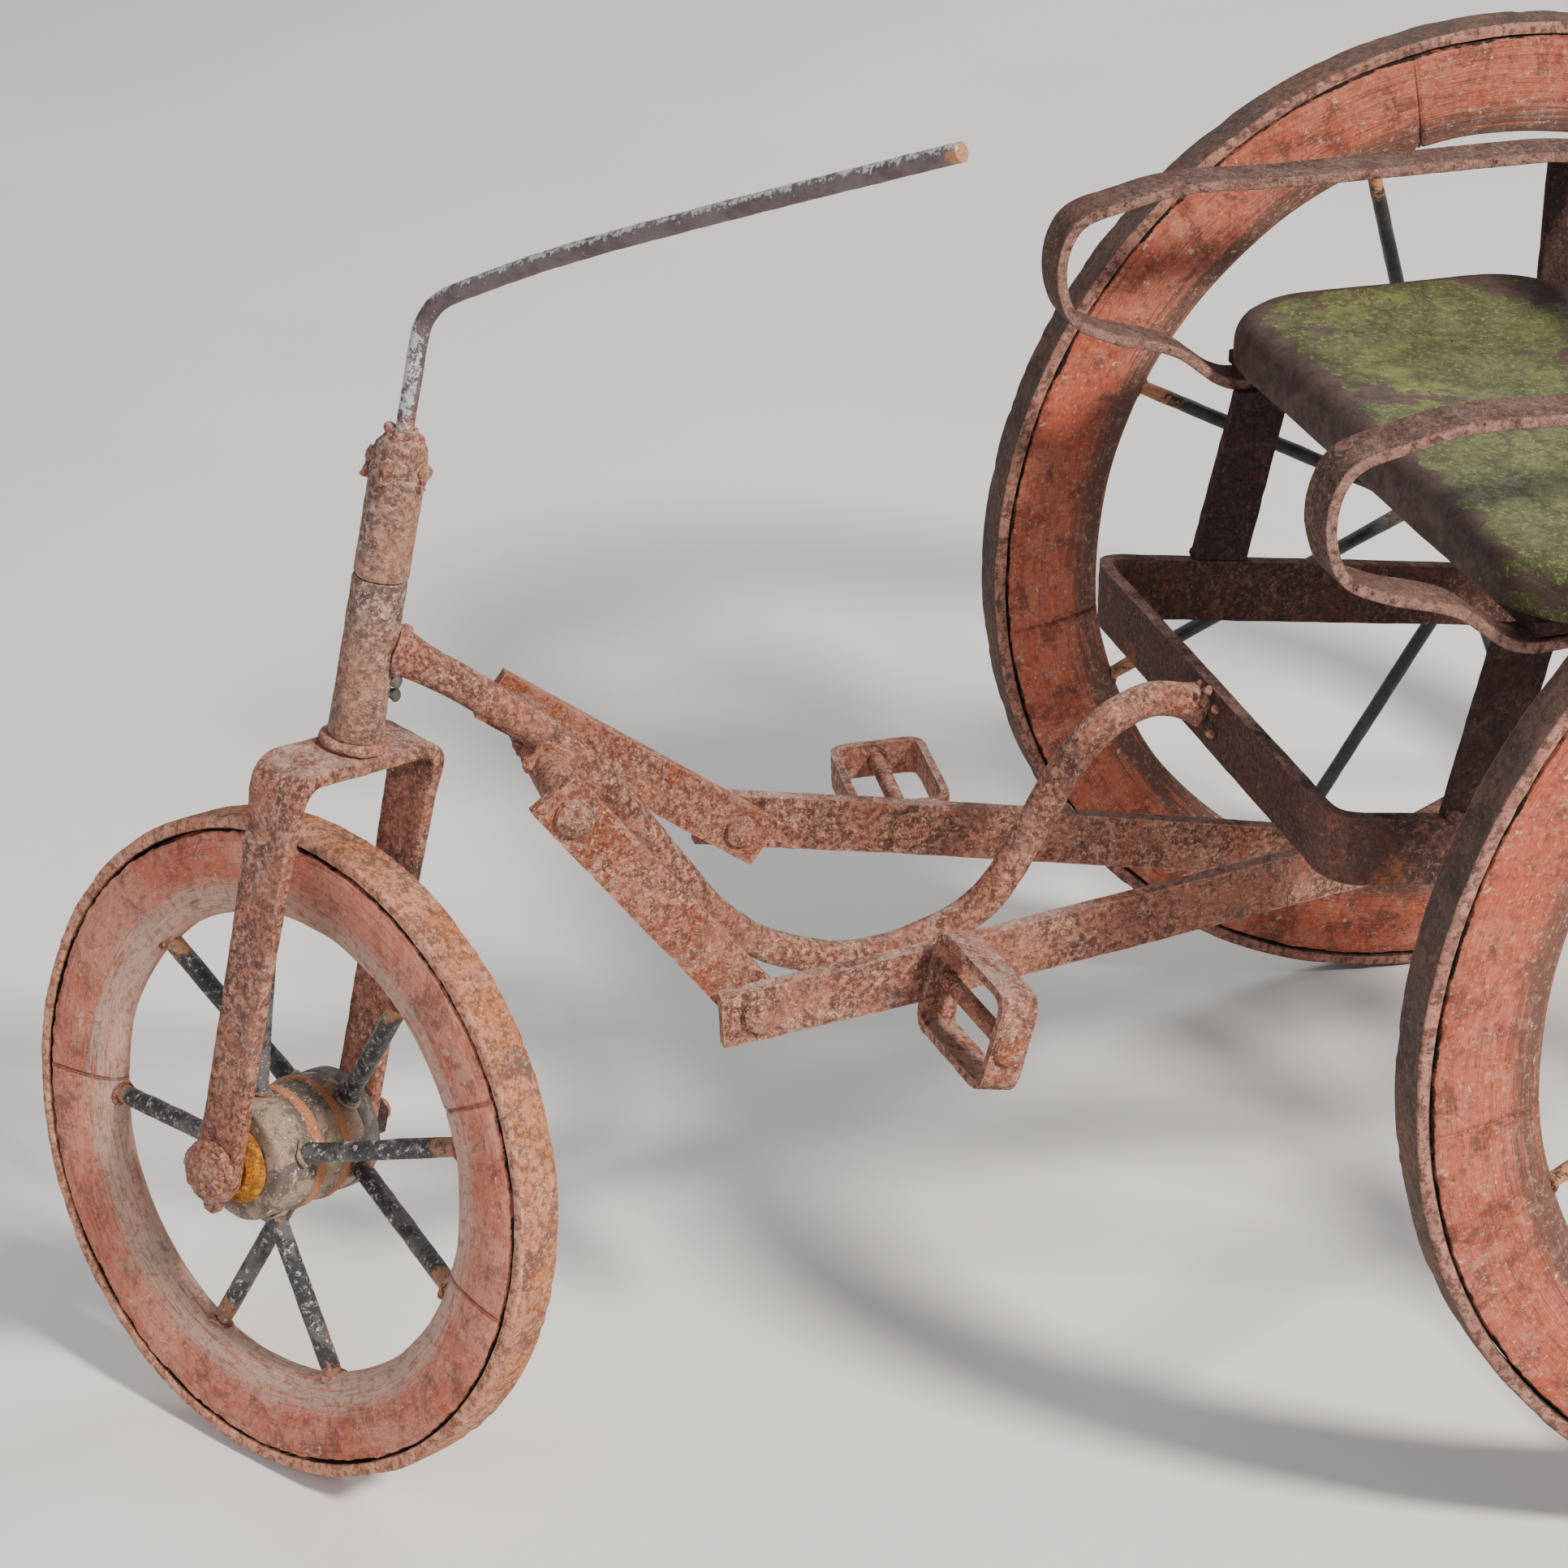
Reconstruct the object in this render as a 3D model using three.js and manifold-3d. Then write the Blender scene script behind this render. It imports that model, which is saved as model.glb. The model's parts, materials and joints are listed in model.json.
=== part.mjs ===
// Child's treadle tricycle: three wood-rimmed wheels, tiller steering, swinging treadles.
// Millimetres, +Z up, the trike faces -Y, origin on the ground under the middle of its box.
import * as THREE from 'three';
import { mergeVertices } from 'three/addons/utils/BufferGeometryUtils.js';
import Module from 'manifold-3d';

const wasm = await Module();
wasm.setup();

// ---- driving dimensions ----
const GAP = 0.3;                 // working gap between separate pieces
const AXLE_Y = 193.5;            // rear axle, behind the origin
const AXLE_Z = 203;              // rear axle height, half of a 16 inch wheel
const REAR = { radius: 203, width: 16.8, tyre: 5, rimInner: 168, rimCrown: 158, x: 194.2 };
const FRONT = { radius: 114.8, width: 17.3, tyre: 5, rimInner: 88, rimCrown: 80.5 };
const RAKE = 11.53;              // steering axis leans back by this many degrees
const STEER = -56.2;             // how far the fork stands turned from straight ahead
const FORK_FOOT = [0, -517.36, 113.2];
const HUB_UP = 1.1;              // front axle above the foot of the steering axis
const SPOKES = 8;
const FRONT_SPOKE_TURN = [-14, 35, 72, 118, 154, 190, 243, 282];  // hand set, so uneven
const FRONT_SPOKE_SIDE = [13, -17];
const REAR_SPOKE_START = 26;
const REAR_SPOKE_SIDE = 20;
const FRONT_SPOKE_R = 3.4;
const REAR_SPOKE_R = 2.8;
const FRAME_X = 108;             // side rails of the rear frame, centre
const RAIL_H = 24;
const RAIL_T = 5;
const CROSS_Y = -191;            // front crossbar, ahead of the axle
const CROSS_Z = 231.5;
const RAIL_SLOPE = 0.149;        // the rails fall towards the axle
const PIVOT = { y: -425, z: 245.5, radius: 6.65, half: 38 };
const LINK = { length: 97, width: 18.7, thick: 4.5, x: 38.6 };
const LINK_SWING = { left: 37, right: 53.5 };
const THROW = 24;
const CRANK_ANGLE = 120;         // left crank pin, from straight back, turning up
const BAR = { height: 19.5, thick: 5, frontX: 49.3, bendX: 45.8, crankX: 16, bend: 56, kink: 242 };
const BAR_RUN = { left: 3.15, right: -9.6 };
const PEDAL = { along: 64, gap: 2.2, length: 52, height: 35.5, strip: 13.2, thick: 3, rod: 3.1 };
const SEAT = { half: 135, front: -142, back: -4, top: 330, skirt: 312, sheet: 2 };
const ARM = { x: 118, width: 17, thick: 4 };

// ---- finishes ----
const paint = (hex, rough, metal) =>
  new THREE.MeshStandardMaterial({ color: hex, roughness: rough, metalness: metal });
const RUST = paint(0x8a5f55, 0.85, 0.3);
const TYRE_RUST = paint(0x8f6350, 0.8, 0.3);
const RED_WOOD = paint(0x8a4a3c, 0.8, 0);
const BLACK_ROD = paint(0x2c2a2b, 0.55, 0.4);
const DARK_RUST = paint(0x3d2420, 0.85, 0.3);
const GREEN_SEAT = paint(0x5f6b3c, 0.75, 0.1);
const ORANGE_RUST = paint(0xb5641c, 0.8, 0.2);
const TILLER_PAINT = paint(0x4a4448, 0.6, 0.3);

// ---- solids ----
function solid(geometry) {
  const bare = new THREE.BufferGeometry();
  bare.setAttribute('position', geometry.getAttribute('position').clone());
  if (geometry.index) bare.setIndex(geometry.index.clone());
  const welded = mergeVertices(bare, 1e-4);
  const at = welded.getAttribute('position').array;
  const index = welded.index.array;
  const keep = [];
  for (let i = 0; i < index.length; i += 3) {
    const [a, b, c] = [index[i], index[i + 1], index[i + 2]];
    if (a !== b && b !== c && c !== a) keep.push(a, b, c);
  }
  if (volume(at, keep) < 0) keep.reverse();
  const mesh = new wasm.Mesh({
    numProp: 3,
    vertProperties: new Float32Array(at),
    triVerts: new Uint32Array(keep),
  });
  return new wasm.Manifold(mesh);
}

function volume(at, index) {
  let sum = 0;
  const p = [new THREE.Vector3(), new THREE.Vector3(), new THREE.Vector3()];
  for (let i = 0; i < index.length; i += 3) {
    for (let k = 0; k < 3; k += 1) p[k].fromArray(at, index[i + k] * 3);
    sum += p[0].dot(p[1].clone().cross(p[2]));
  }
  return sum;
}

function geometryOf(body) {
  const mesh = body.getMesh();
  const geometry = new THREE.BufferGeometry();
  geometry.setAttribute('position', new THREE.BufferAttribute(mesh.vertProperties, 3));
  geometry.setIndex(new THREE.BufferAttribute(mesh.triVerts, 1));
  const flat = geometry.toNonIndexed();
  flat.computeVertexNormals();
  return flat;
}

// closed outline of [radius, height] pairs turned about Y
function lathe(outline, segments = 32) {
  const points = outline.map(([r, y]) => new THREE.Vector2(r, y));
  points.push(points[0].clone());
  return new THREE.LatheGeometry(points, segments);
}

function rod(radius, from, to, segments = 16) {
  const a = new THREE.Vector3(...from);
  const b = new THREE.Vector3(...to);
  const geometry = new THREE.CylinderGeometry(radius, radius, a.distanceTo(b), segments);
  const turn = new THREE.Quaternion();
  turn.setFromUnitVectors(new THREE.Vector3(0, 1, 0), b.clone().sub(a).normalize());
  geometry.applyQuaternion(turn);
  const mid = a.add(b).multiplyScalar(0.5);
  return geometry.translate(mid.x, mid.y, mid.z);
}

function bentRod(radius, points, steps, segments = 14) {
  const shape = new THREE.Shape();
  shape.absarc(0, 0, radius, 0, Math.PI * 2);
  const path = new THREE.CatmullRomCurve3(points.map((p) => new THREE.Vector3(...p)), false, 'centripetal');
  return new THREE.ExtrudeGeometry(shape, {
    steps,
    extrudePath: path,
    curveSegments: segments,
  });
}

function outlineShape(points) {
  return new THREE.Shape(points.map(([x, y]) => new THREE.Vector2(x, y)));
}

// plate with its outline in (y, z), standing between x0 and x1
function sidePlate(points, x0, x1) {
  const geometry = new THREE.ExtrudeGeometry(outlineShape(points), { depth: x1 - x0, bevelEnabled: false });
  const frame = new THREE.Matrix4().makeBasis(
    new THREE.Vector3(0, 1, 0), new THREE.Vector3(0, 0, 1), new THREE.Vector3(1, 0, 0));
  return geometry.applyMatrix4(frame).translate(x0, 0, 0);
}

// plate with its outline in (x, z), standing between y0 and y1
function frontPlate(points, y0, y1) {
  const geometry = new THREE.ExtrudeGeometry(outlineShape(points), { depth: y1 - y0, bevelEnabled: false });
  return geometry.rotateX(Math.PI / 2).translate(0, y1, 0);
}

// plate with its outline in (x, y), lying between z0 and z1
function flatPlate(points, z0, z1) {
  const geometry = new THREE.ExtrudeGeometry(outlineShape(points), { depth: z1 - z0, bevelEnabled: false });
  return geometry.translate(0, 0, z0);
}

function box(x0, x1, y0, y1, z0, z1) {
  const geometry = new THREE.BoxGeometry(x1 - x0, y1 - y0, z1 - z0);
  return geometry.translate((x0 + x1) / 2, (y0 + y1) / 2, (z0 + z1) / 2);
}

// outline of a strap of the given thickness that follows a centre line
function strapOutline(line, thick) {
  const side = (sign) => line.map((point, i) => {
    const before = line[Math.max(i - 1, 0)];
    const after = line[Math.min(i + 1, line.length - 1)];
    const one = unit([point[0] - before[0], point[1] - before[1]]);
    const two = unit([after[0] - point[0], after[1] - point[1]]);
    const dir = i === 0 ? two : i === line.length - 1 ? one : unit([one[0] + two[0], one[1] + two[1]]);
    const cos = i === 0 || i === line.length - 1 ? 1 : dir[0] * one[0] + dir[1] * one[1];
    const off = (sign * thick) / 2 / Math.max(cos, 0.5);
    return [point[0] - dir[1] * off, point[1] + dir[0] * off];
  });
  return [...side(1), ...side(-1).reverse()];
}

function unit([x, y]) {
  const length = Math.hypot(x, y) || 1;
  return [x / length, y / length];
}

// rounds the corners of an open line
function rounded(line, radius, pieces = 5) {
  const out = [line[0]];
  for (let i = 1; i < line.length - 1; i += 1) {
    const a = new THREE.Vector2(...line[i - 1]);
    const b = new THREE.Vector2(...line[i]);
    const c = new THREE.Vector2(...line[i + 1]);
    const into = b.clone().sub(a).normalize();
    const from = c.clone().sub(b).normalize();
    const half = Math.acos(THREE.MathUtils.clamp(into.dot(from), -1, 1)) / 2;
    const cut = Math.min(radius * Math.tan(half), a.distanceTo(b) * 0.49, b.distanceTo(c) * 0.49);
    const curve = new THREE.QuadraticBezierCurve(
      b.clone().addScaledVector(into, -cut), b, b.clone().addScaledVector(from, cut));
    out.push(...curve.getPoints(pieces).map((p) => [p.x, p.y]));
  }
  out.push(line[line.length - 1]);
  return out;
}

// ---- the assembly ----
const trike = new THREE.Group();
trike.name = 'treadle_tricycle';

function place(name, body, material, frame = new THREE.Matrix4()) {
  const geometry = geometryOf(body);
  geometry.applyMatrix4(frame);
  geometry.translate(0, AXLE_Y, 0);
  geometry.computeVertexNormals();
  const mesh = new THREE.Mesh(geometry, material);
  mesh.name = name;
  trike.add(mesh);
}

const deg = THREE.MathUtils.degToRad;
const lean = deg(RAKE);
const up = new THREE.Vector3(0, Math.sin(lean), Math.cos(lean));
const acrossX = new THREE.Vector3(1, 0, 0).applyAxisAngle(up, deg(STEER));
const ahead = acrossX.clone().cross(up);
// local x ahead, y along the front axle, z up the steering axis
const steering = new THREE.Matrix4().makeBasis(ahead, acrossX, up).setPosition(...FORK_FOOT);
// the same without the steering turn, for the fixed head tube
const straight = new THREE.Matrix4().makeBasis(
  new THREE.Vector3(1, 0, 0).cross(up), new THREE.Vector3(1, 0, 0), up).setPosition(...FORK_FOOT);

// ---- wheels ----
function tyreOutline(w) {
  const inner = w.radius - w.tyre;
  const half = w.width / 2;
  return [[inner, -half], [w.radius - 1.2, -half], [w.radius, -half + 1.5],
    [w.radius, half - 1.5], [w.radius - 1.2, half], [inner, half]];
}

function rimOutline(w) {
  const outer = w.radius - w.tyre - GAP;
  const half = w.width / 2;
  const depth = w.rimInner - w.rimCrown;
  const outline = [[outer, half - 0.2], [outer, -half + 0.2]];
  for (let i = 0; i <= 5; i += 1) {
    const turn = (Math.PI * i) / 5;
    outline.push([w.rimInner - depth * Math.sin(turn), -(half - 0.2) * Math.cos(turn)]);
  }
  return outline;
}

// a spoke from the hub, set off to one side, to the middle of the rim
function spokeEnds(turn, offset, w, hubReach, rimReach) {
  const at = (r, y) => [r * Math.cos(turn), y, r * Math.sin(turn)];
  const slope = offset / (w.rimCrown - hubReach);
  const end = (r) => at(r, slope * (w.rimCrown - r));
  return [end(hubReach), end(w.rimCrown + rimReach)];
}

function addFrontWheel() {
  const lift = new THREE.Matrix4().makeTranslation(0, 0, HUB_UP);
  const frame = steering.clone().multiply(lift);
  let rim = solid(lathe(rimOutline(FRONT), 40));
  let hub = solid(lathe([[5.3, -23], [19, -23], [20.5, -21.5], [20.5, -9], [21.5, -8.4], [21.5, -5.6], [20.5, -5],
    [20.5, 3], [21.5, 3.6], [21.5, 6.4], [20.5, 7], [20.5, 21.5], [19, 23], [5.3, 23]], 24));
  for (let i = 0; i < SPOKES; i += 1) {
    const turn = deg(FRONT_SPOKE_TURN[i]);
    const offset = FRONT_SPOKE_SIDE[i % 2];
    const spoke = solid(rod(FRONT_SPOKE_R, ...spokeEnds(turn, offset, FRONT, 13, 9), 8));
    const socket = solid(rod(FRONT_SPOKE_R + GAP, ...spokeEnds(turn, offset, FRONT, 12, 10), 8));
    rim = rim.subtract(socket);
    hub = hub.subtract(socket);
    place(`front_spoke_${i + 1}`, spoke, BLACK_ROD, frame);
  }
  place('front_tyre', solid(lathe(tyreOutline(FRONT), 40)), TYRE_RUST, frame);
  place('front_rim', rim, RED_WOOD, frame);
  place('front_hub', hub, RUST, frame);
}

function addRearWheel(side, name) {
  const frame = new THREE.Matrix4().makeRotationZ(-Math.PI / 2).setPosition(side * REAR.x, 0, AXLE_Z);
  let rim = solid(lathe(rimOutline(REAR), 48));
  let hub = solid(lathe([[6.3, -28], [15, -28], [17, -26], [17, -16], [14, -13], [14, 13], [17, 16], [17, 26],
    [15, 28], [6.3, 28]], 16));
  for (let i = 0; i < SPOKES; i += 1) {
    const turn = deg(REAR_SPOKE_START + (360 * i) / SPOKES);
    const offset = i % 2 === 0 ? REAR_SPOKE_SIDE : -REAR_SPOKE_SIDE;
    hub = hub.add(solid(rod(REAR_SPOKE_R, ...spokeEnds(turn, offset, REAR, 12, 9), 8)));
    rim = rim.subtract(solid(rod(REAR_SPOKE_R + GAP, ...spokeEnds(turn, offset, REAR, 12, 10), 8)));
  }
  place(`rear_tyre_${name}`, solid(lathe(tyreOutline(REAR), 48)), TYRE_RUST, frame);
  place(`rear_rim_${name}`, rim, RED_WOOD, frame);
  place(`rear_hub_spokes_${name}`, hub, BLACK_ROD, frame);
}

// ---- steering ----
function addFork() {
  const inner = 29;
  const outer = 34;
  const top = 149;
  const u = rounded([[-(inner + 2.5), -14], [-(inner + 2.5), top - 2.5], [inner + 2.5, top - 2.5],
    [inner + 2.5, -14]], 9, 6);
  const bar = solid(sidePlate(strapOutline(u, outer - inner), -15, 15));
  const outline = [[0, -13], [5, -10], [8.5, 0], [8.5, 80], [9.8, 130], [11.5, 142], [11.5, 152], [-11.5, 152],
    [-11.5, 142], [-9.8, 130], [-8.5, 80], [-8.5, 0], [-5, -10]];
  const cut = solid(frontPlate(outline, -40, 40));
  const bore = solid(rod(4.4, [0, -50, HUB_UP], [0, 50, HUB_UP]));
  const stemHole = solid(rod(5.5, [0, 0, 140], [0, 0, 160]));
  place('fork', bar.intersect(cut).subtract(bore).subtract(stemHole), RUST, steering);
}

function addSteeringParts() {
  const ring = (outline, segments = 20) => solid(lathe(outline, segments).rotateX(Math.PI / 2));
  place('fork_collar', ring([[5.5, 149.3], [11.3, 149.3], [11.3, 151.6], [10.2, 153], [5.5, 153]]), RUST, steering);
  place('steering_stem', solid(rod(5.2, [0, 0, 144.2], [0, 0, 244], 24)), DARK_RUST, steering);
  const sleeve = ring([[5.5, 209], [8.9, 209], [8.9, 246], [8.2, 250], [6, 254], [4, 256.5], [3.3, 257], [3.3, 249],
    [0.01, 249], [0.01, 245], [5.5, 245]]);
  place('steering_sleeve', sleeve, RUST, steering);
  const path = [[0, 0, 249.4], [0, 0, 270], [0, 0, 286], [-1, 0, 294], [-6, 0, 302], [-16, 0, 309.5], [-52, 0, 332.5],
    [-108, 0, 364.5], [-182, 0, 405.3]];
  place('tiller', solid(bentRod(2.95, path, 22, 5)), TILLER_PAINT, steering);
}

function addFrontAxle() {
  const lift = new THREE.Matrix4().makeTranslation(0, 0, HUB_UP);
  const frame = steering.clone().multiply(lift);
  const bolt = lathe([[0.01, -46], [4, -46], [4, 34.3], [11, 34.3], [11, 36.5], [9, 39], [5, 40.6], [0.01, 41]], 24);
  place('front_axle_bolt', solid(bolt), RUST, frame);
  const hex = new THREE.CylinderGeometry(8.5, 8.5, 6, 6).translate(0, -37.6, 0);
  const hole = solid(rod(4.3, [0, -50, 0], [0, 0, 0]));
  place('front_axle_nut', solid(hex).subtract(hole), DARK_RUST, frame);
  const cup = (s) => solid(lathe([[4.4, s * 28.6], [9, s * 28.6], [13.5, s * 25.2], [13.5, s * 23.5], [4.4, s * 23.5]], 28));
  place('front_cup_left', cup(1), ORANGE_RUST, frame);
  place('front_cup_right', cup(-1), ORANGE_RUST, frame);
}

// ---- fixed frame ----
const headTube = (radius) => rod(radius, [0, 0, 153.4], [0, 0, 208.6], 28).applyMatrix4(straight);

function addHeadAndBackbone() {
  const bore = solid(rod(5.6, [0, 0, 100], [0, 0, 260], 28).applyMatrix4(straight));
  place('head_tube', solid(headTube(8.9)).subtract(bore), RUST);
  const line = [[-476, 294], [-469, 289], [-443, 270], [-417, 247], [-401, 227], [-384, 202], [-368, 179], [-348, 163],
    [-319, 154], [-289, 159], [-269, 171], [-254, 195], [-243, 215], [-229, 231], [-212, 238], [-193.8, 234]];
  const tube = solid(bentRod(6, line.map(([y, z]) => [0, y, z]), 34, 5));
  const pivot = solid(rod(PIVOT.radius + GAP, [-50, PIVOT.y, PIVOT.z], [50, PIVOT.y, PIVOT.z]));
  const clear = solid(box(-20, 20, CROSS_Y - RAIL_T / 2 - GAP, -150, 200, 260));
  const body = tube.subtract(solid(headTube(8.9 + GAP))).subtract(bore).subtract(pivot).subtract(clear);
  place('backbone', largest(body), RUST);
}

function largest(body) {
  const parts = body.decompose();
  return parts.reduce((best, part) => (part.volume() > best.volume() ? part : best));
}

function addPivot() {
  const at = (x) => [x, PIVOT.y, PIVOT.z];
  const tube = solid(rod(PIVOT.radius, at(-PIVOT.half), at(PIVOT.half), 24));
  place('link_pivot_tube', tube.subtract(solid(rod(4.3, at(-50), at(50)))), RUST);
  const reach = LINK.x + LINK.thick + GAP;
  const pin = solid(rod(4, at(-reach - 1), at(reach + 1)));
  const heads = [-1, 1].map((s) => solid(lathe([[0.01, 0], [6.8, 0], [6.4, 1.8], [4, 3.2], [0.01, 3.6]], 12)
    .rotateZ(-s * Math.PI / 2).translate(...at(s * reach))));
  place('link_pivot_pin', pin.add(heads[0]).add(heads[1]), RUST);
}

const railZ = (y) => CROSS_Z - RAIL_SLOPE * (y - CROSS_Y);
const REAR_BAR_Y = 48;
const frameShear = new THREE.Matrix4().set(1, 0, 0, 0, 0, 1, 0, 0, 0, -RAIL_SLOPE, 1, 0, 0, 0, 0, 1);

function addRearFrame() {
  const line = rounded([[-FRAME_X, 62], [-FRAME_X, CROSS_Y], [FRAME_X, CROSS_Y], [FRAME_X, 62]], 11, 5);
  const z = railZ(0);
  const strap = flatPlate(strapOutline(line, RAIL_T), z - RAIL_H / 2, z + RAIL_H / 2).applyMatrix4(frameShear);
  const bore = solid(rod(9.3, [-150, 0, AXLE_Z], [150, 0, AXLE_Z], 24));
  place('frame_strap', solid(strap).subtract(bore), DARK_RUST);
  const half = FRAME_X - RAIL_T / 2 - GAP;
  const tail = rounded([[-half + 2.5, 20 + REAR_BAR_Y], [-half + 2.5, REAR_BAR_Y], [half - 2.5, REAR_BAR_Y],
    [half - 2.5, 20 + REAR_BAR_Y]], 8, 4);
  const bar = flatPlate(strapOutline(tail, RAIL_T), z - RAIL_H / 2, z + RAIL_H / 2).applyMatrix4(frameShear);
  place('frame_rear_bar', solid(bar), DARK_RUST);
}

function addBearings() {
  for (const [side, name] of [[1, 'left'], [-1, 'right']]) {
    const outline = [[6.3, -5], [9, -5], [9, 2.8], [13, 2.8], [13, 5.8], [6.3, 5.8]];
    const bush = lathe(outline, 24).rotateZ(-side * Math.PI / 2).translate(side * FRAME_X, 0, AXLE_Z);
    place(`axle_bush_${name}`, solid(bush), DARK_RUST);
  }
}

function addPosts() {
  const foot = (y) => railZ(y) + RAIL_H / 2 + GAP;
  const strapZ = SEAT.skirt - 5 - ARM.thick - 3 * GAP;
  for (const [side, name] of [[1, 'left'], [-1, 'right']]) {
    const x0 = side * FRAME_X - 2.5;
    const front = [[-154, foot(-154)], [-133, foot(-133)], [-119, strapZ], [-140, strapZ]];
    place(`seat_post_${name}`, solid(sidePlate(front, x0, x0 + 5)), DARK_RUST);
    const line = rounded([[FRAME_X, foot(-11) + 0.2], [FRAME_X, 240], [129, 292], [129, ARM_Z - ARM.thick / 2 - GAP]], 30, 4);
    const bend = line.map(([x, z]) => [side * x, z]);
    place(`back_upright_${name}`, solid(frontPlate(strapOutline(bend, 4), -11, 9)), DARK_RUST);
  }
  const z = SEAT.skirt - GAP;
  place('seat_front_strap', solid(box(-126, 126, -136, -117, z - 5, z)), DARK_RUST);
  place('seat_rear_strap', solid(box(-126.6, 126.6, -17, 3, z - 5, z)), DARK_RUST);
}

// ---- seat and arm rail ----
const ARM_Z = 379;

function roundedRect(half, front, back, radius, pieces = 4) {
  const shape = [];
  const corners = [[half - radius, front + radius, -90], [half - radius, back - radius, 0],
    [-half + radius, back - radius, 90], [-half + radius, front + radius, 180]];
  for (const [x, y, start] of corners) {
    for (let i = 0; i <= pieces; i += 1) {
      const turn = deg(start + (90 * i) / pieces);
      shape.push([x + radius * Math.cos(turn), y + radius * Math.sin(turn)]);
    }
  }
  return shape;
}

function seatShell(inset, top, bottom) {
  const layers = [[0, bottom], [0, top - 9], [1.2, top - 5], [4, top - 1.8], [8, top - 0.4], [14, top]];
  let shell = null;
  for (let i = 0; i < layers.length - 1; i += 1) {
    const [in0, z0] = layers[i];
    const [in1, z1] = layers[i + 1];
    const ring = loft(roundedRect(SEAT.half - inset - in0, SEAT.front + inset + in0, SEAT.back - inset - in0, 34 - in0),
      z0, roundedRect(SEAT.half - inset - in1, SEAT.front + inset + in1, SEAT.back - inset - in1, 34 - in1), z1);
    shell = shell ? shell.add(ring) : ring;
  }
  return shell;
}

// hull between two level outlines
function loft(low, z0, high, z1) {
  const points = [...low.map(([x, y]) => [x, y, z0]), ...high.map(([x, y]) => [x, y, z1])];
  return wasm.Manifold.hull(points);
}

function addSeat() {
  const outer = seatShell(0, SEAT.top, SEAT.skirt);
  const inner = seatShell(SEAT.sheet, SEAT.top - SEAT.sheet, SEAT.skirt - 5);
  place('seat_pan', outer.subtract(inner), GREEN_SEAT);
}

function addArmRail() {
  const low = SEAT.skirt - 5 - ARM.thick / 2 - 2 * GAP;
  const line = rounded([[-114, low], [-141, low], [-163, 319], [-188, 327], [-203, 336], [-208, 354], [-202, 370],
    [-184, 376], [-160, 380], [-120, ARM_Z], [-30, ARM_Z]], 10, 3);
  const outline = strapOutline(line, ARM.thick);
  const half = ARM.x + ARM.width / 2;
  const arms = [1, -1].map((s) => solid(sidePlate(outline, s * ARM.x - ARM.width / 2, s * ARM.x + ARM.width / 2)));
  const plan = strapOutline(rounded([[ARM.x, -36], [ARM.x, 2], [-ARM.x, 2], [-ARM.x, -36]], 26, 6), ARM.width);
  const back = solid(flatPlate(plan, ARM_Z - ARM.thick / 2, ARM_Z + ARM.thick / 2));
  place('arm_rail', arms[0].add(arms[1]).add(back), RUST);
  return half;
}

// ---- crank, treadles and links ----
const crankPin = (side) => {
  const turn = deg(CRANK_ANGLE) + (side > 0 ? 0 : Math.PI);
  return [THROW * Math.cos(turn), AXLE_Z + THROW * Math.sin(turn)];
};

function web(a, b, width, x0, x1) {
  const dir = unit([b[0] - a[0], b[1] - a[1]]);
  const half = width / 2;
  const ends = [[a[0] - dir[0] * half, a[1] - dir[1] * half], [b[0] + dir[0] * half, b[1] + dir[1] * half]];
  return solid(sidePlate(strapOutline(ends, width), x0, x1));
}

function addCrank() {
  const centre = [0, AXLE_Z];
  const pins = { 1: crankPin(1), '-1': crankPin(-1) };
  let body = web(pins[1], pins[-1], 15, -4, 4);
  for (const side of [1, -1]) {
    const pin = pins[side];
    const span = (a, b) => (side > 0 ? [a, b] : [-b, -a]);
    body = body.add(web(pin, centre, 15, ...span(24, 30)));
    body = body.add(solid(rod(5, [side * 3, ...pin], [side * 25, ...pin])));
    body = body.add(solid(rod(6, [side * 25, ...centre], [side * 232, ...centre], 24)));
  }
  place('crank_axle', body, DARK_RUST);
}

function addAxleNuts() {
  for (const [side, name] of [[1, 'left'], [-1, 'right']]) {
    const hex = new THREE.CylinderGeometry(11, 11, 7, 6).rotateZ(Math.PI / 2)
      .translate(side * (REAR.x + 28 + GAP + 3.5), 0, AXLE_Z);
    const hole = solid(rod(6.3, [-250, 0, AXLE_Z], [250, 0, AXLE_Z], 24));
    place(`axle_nut_${name}`, solid(hex).subtract(hole), DARK_RUST);
  }
}

const linkFoot = (name) => {
  const turn = deg(LINK_SWING[name]);
  return [PIVOT.y + LINK.length * Math.sin(turn), PIVOT.z - LINK.length * Math.cos(turn)];
};

function addLink(side, name) {
  const top = [PIVOT.y, PIVOT.z];
  const foot = linkFoot(name);
  const dir = unit([foot[0] - top[0], foot[1] - top[1]]);
  const far = (p, d) => [p[0] + dir[0] * d, p[1] + dir[1] * d];
  const outline = strapOutline([far(top, -11), far(foot, 11)], LINK.width);
  const x0 = side > 0 ? LINK.x : -LINK.x - LINK.thick;
  let body = solid(sidePlate(outline, x0, x0 + LINK.thick));
  body = body.subtract(solid(rod(4.3, [-60, ...top], [60, ...top])));
  body = body.subtract(solid(rod(3.8, [-60, ...foot], [60, ...foot])));
  place(`link_${name}`, body, RUST);
  const head = [[0.01, 0], [6, 0], [5.4, 1.6], [3, 2.8], [0.01, 3]];
  const start = side * (LINK.x - GAP);
  const cap = solid(lathe(head, 20).rotateZ(side * Math.PI / 2).translate(start, ...foot));
  const shank = solid(rod(3.5, [start - side, ...foot], [side * (LINK.x + LINK.thick - 0.4), ...foot]));
  place(`link_rivet_${name}`, cap.add(shank), RUST);
}

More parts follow.
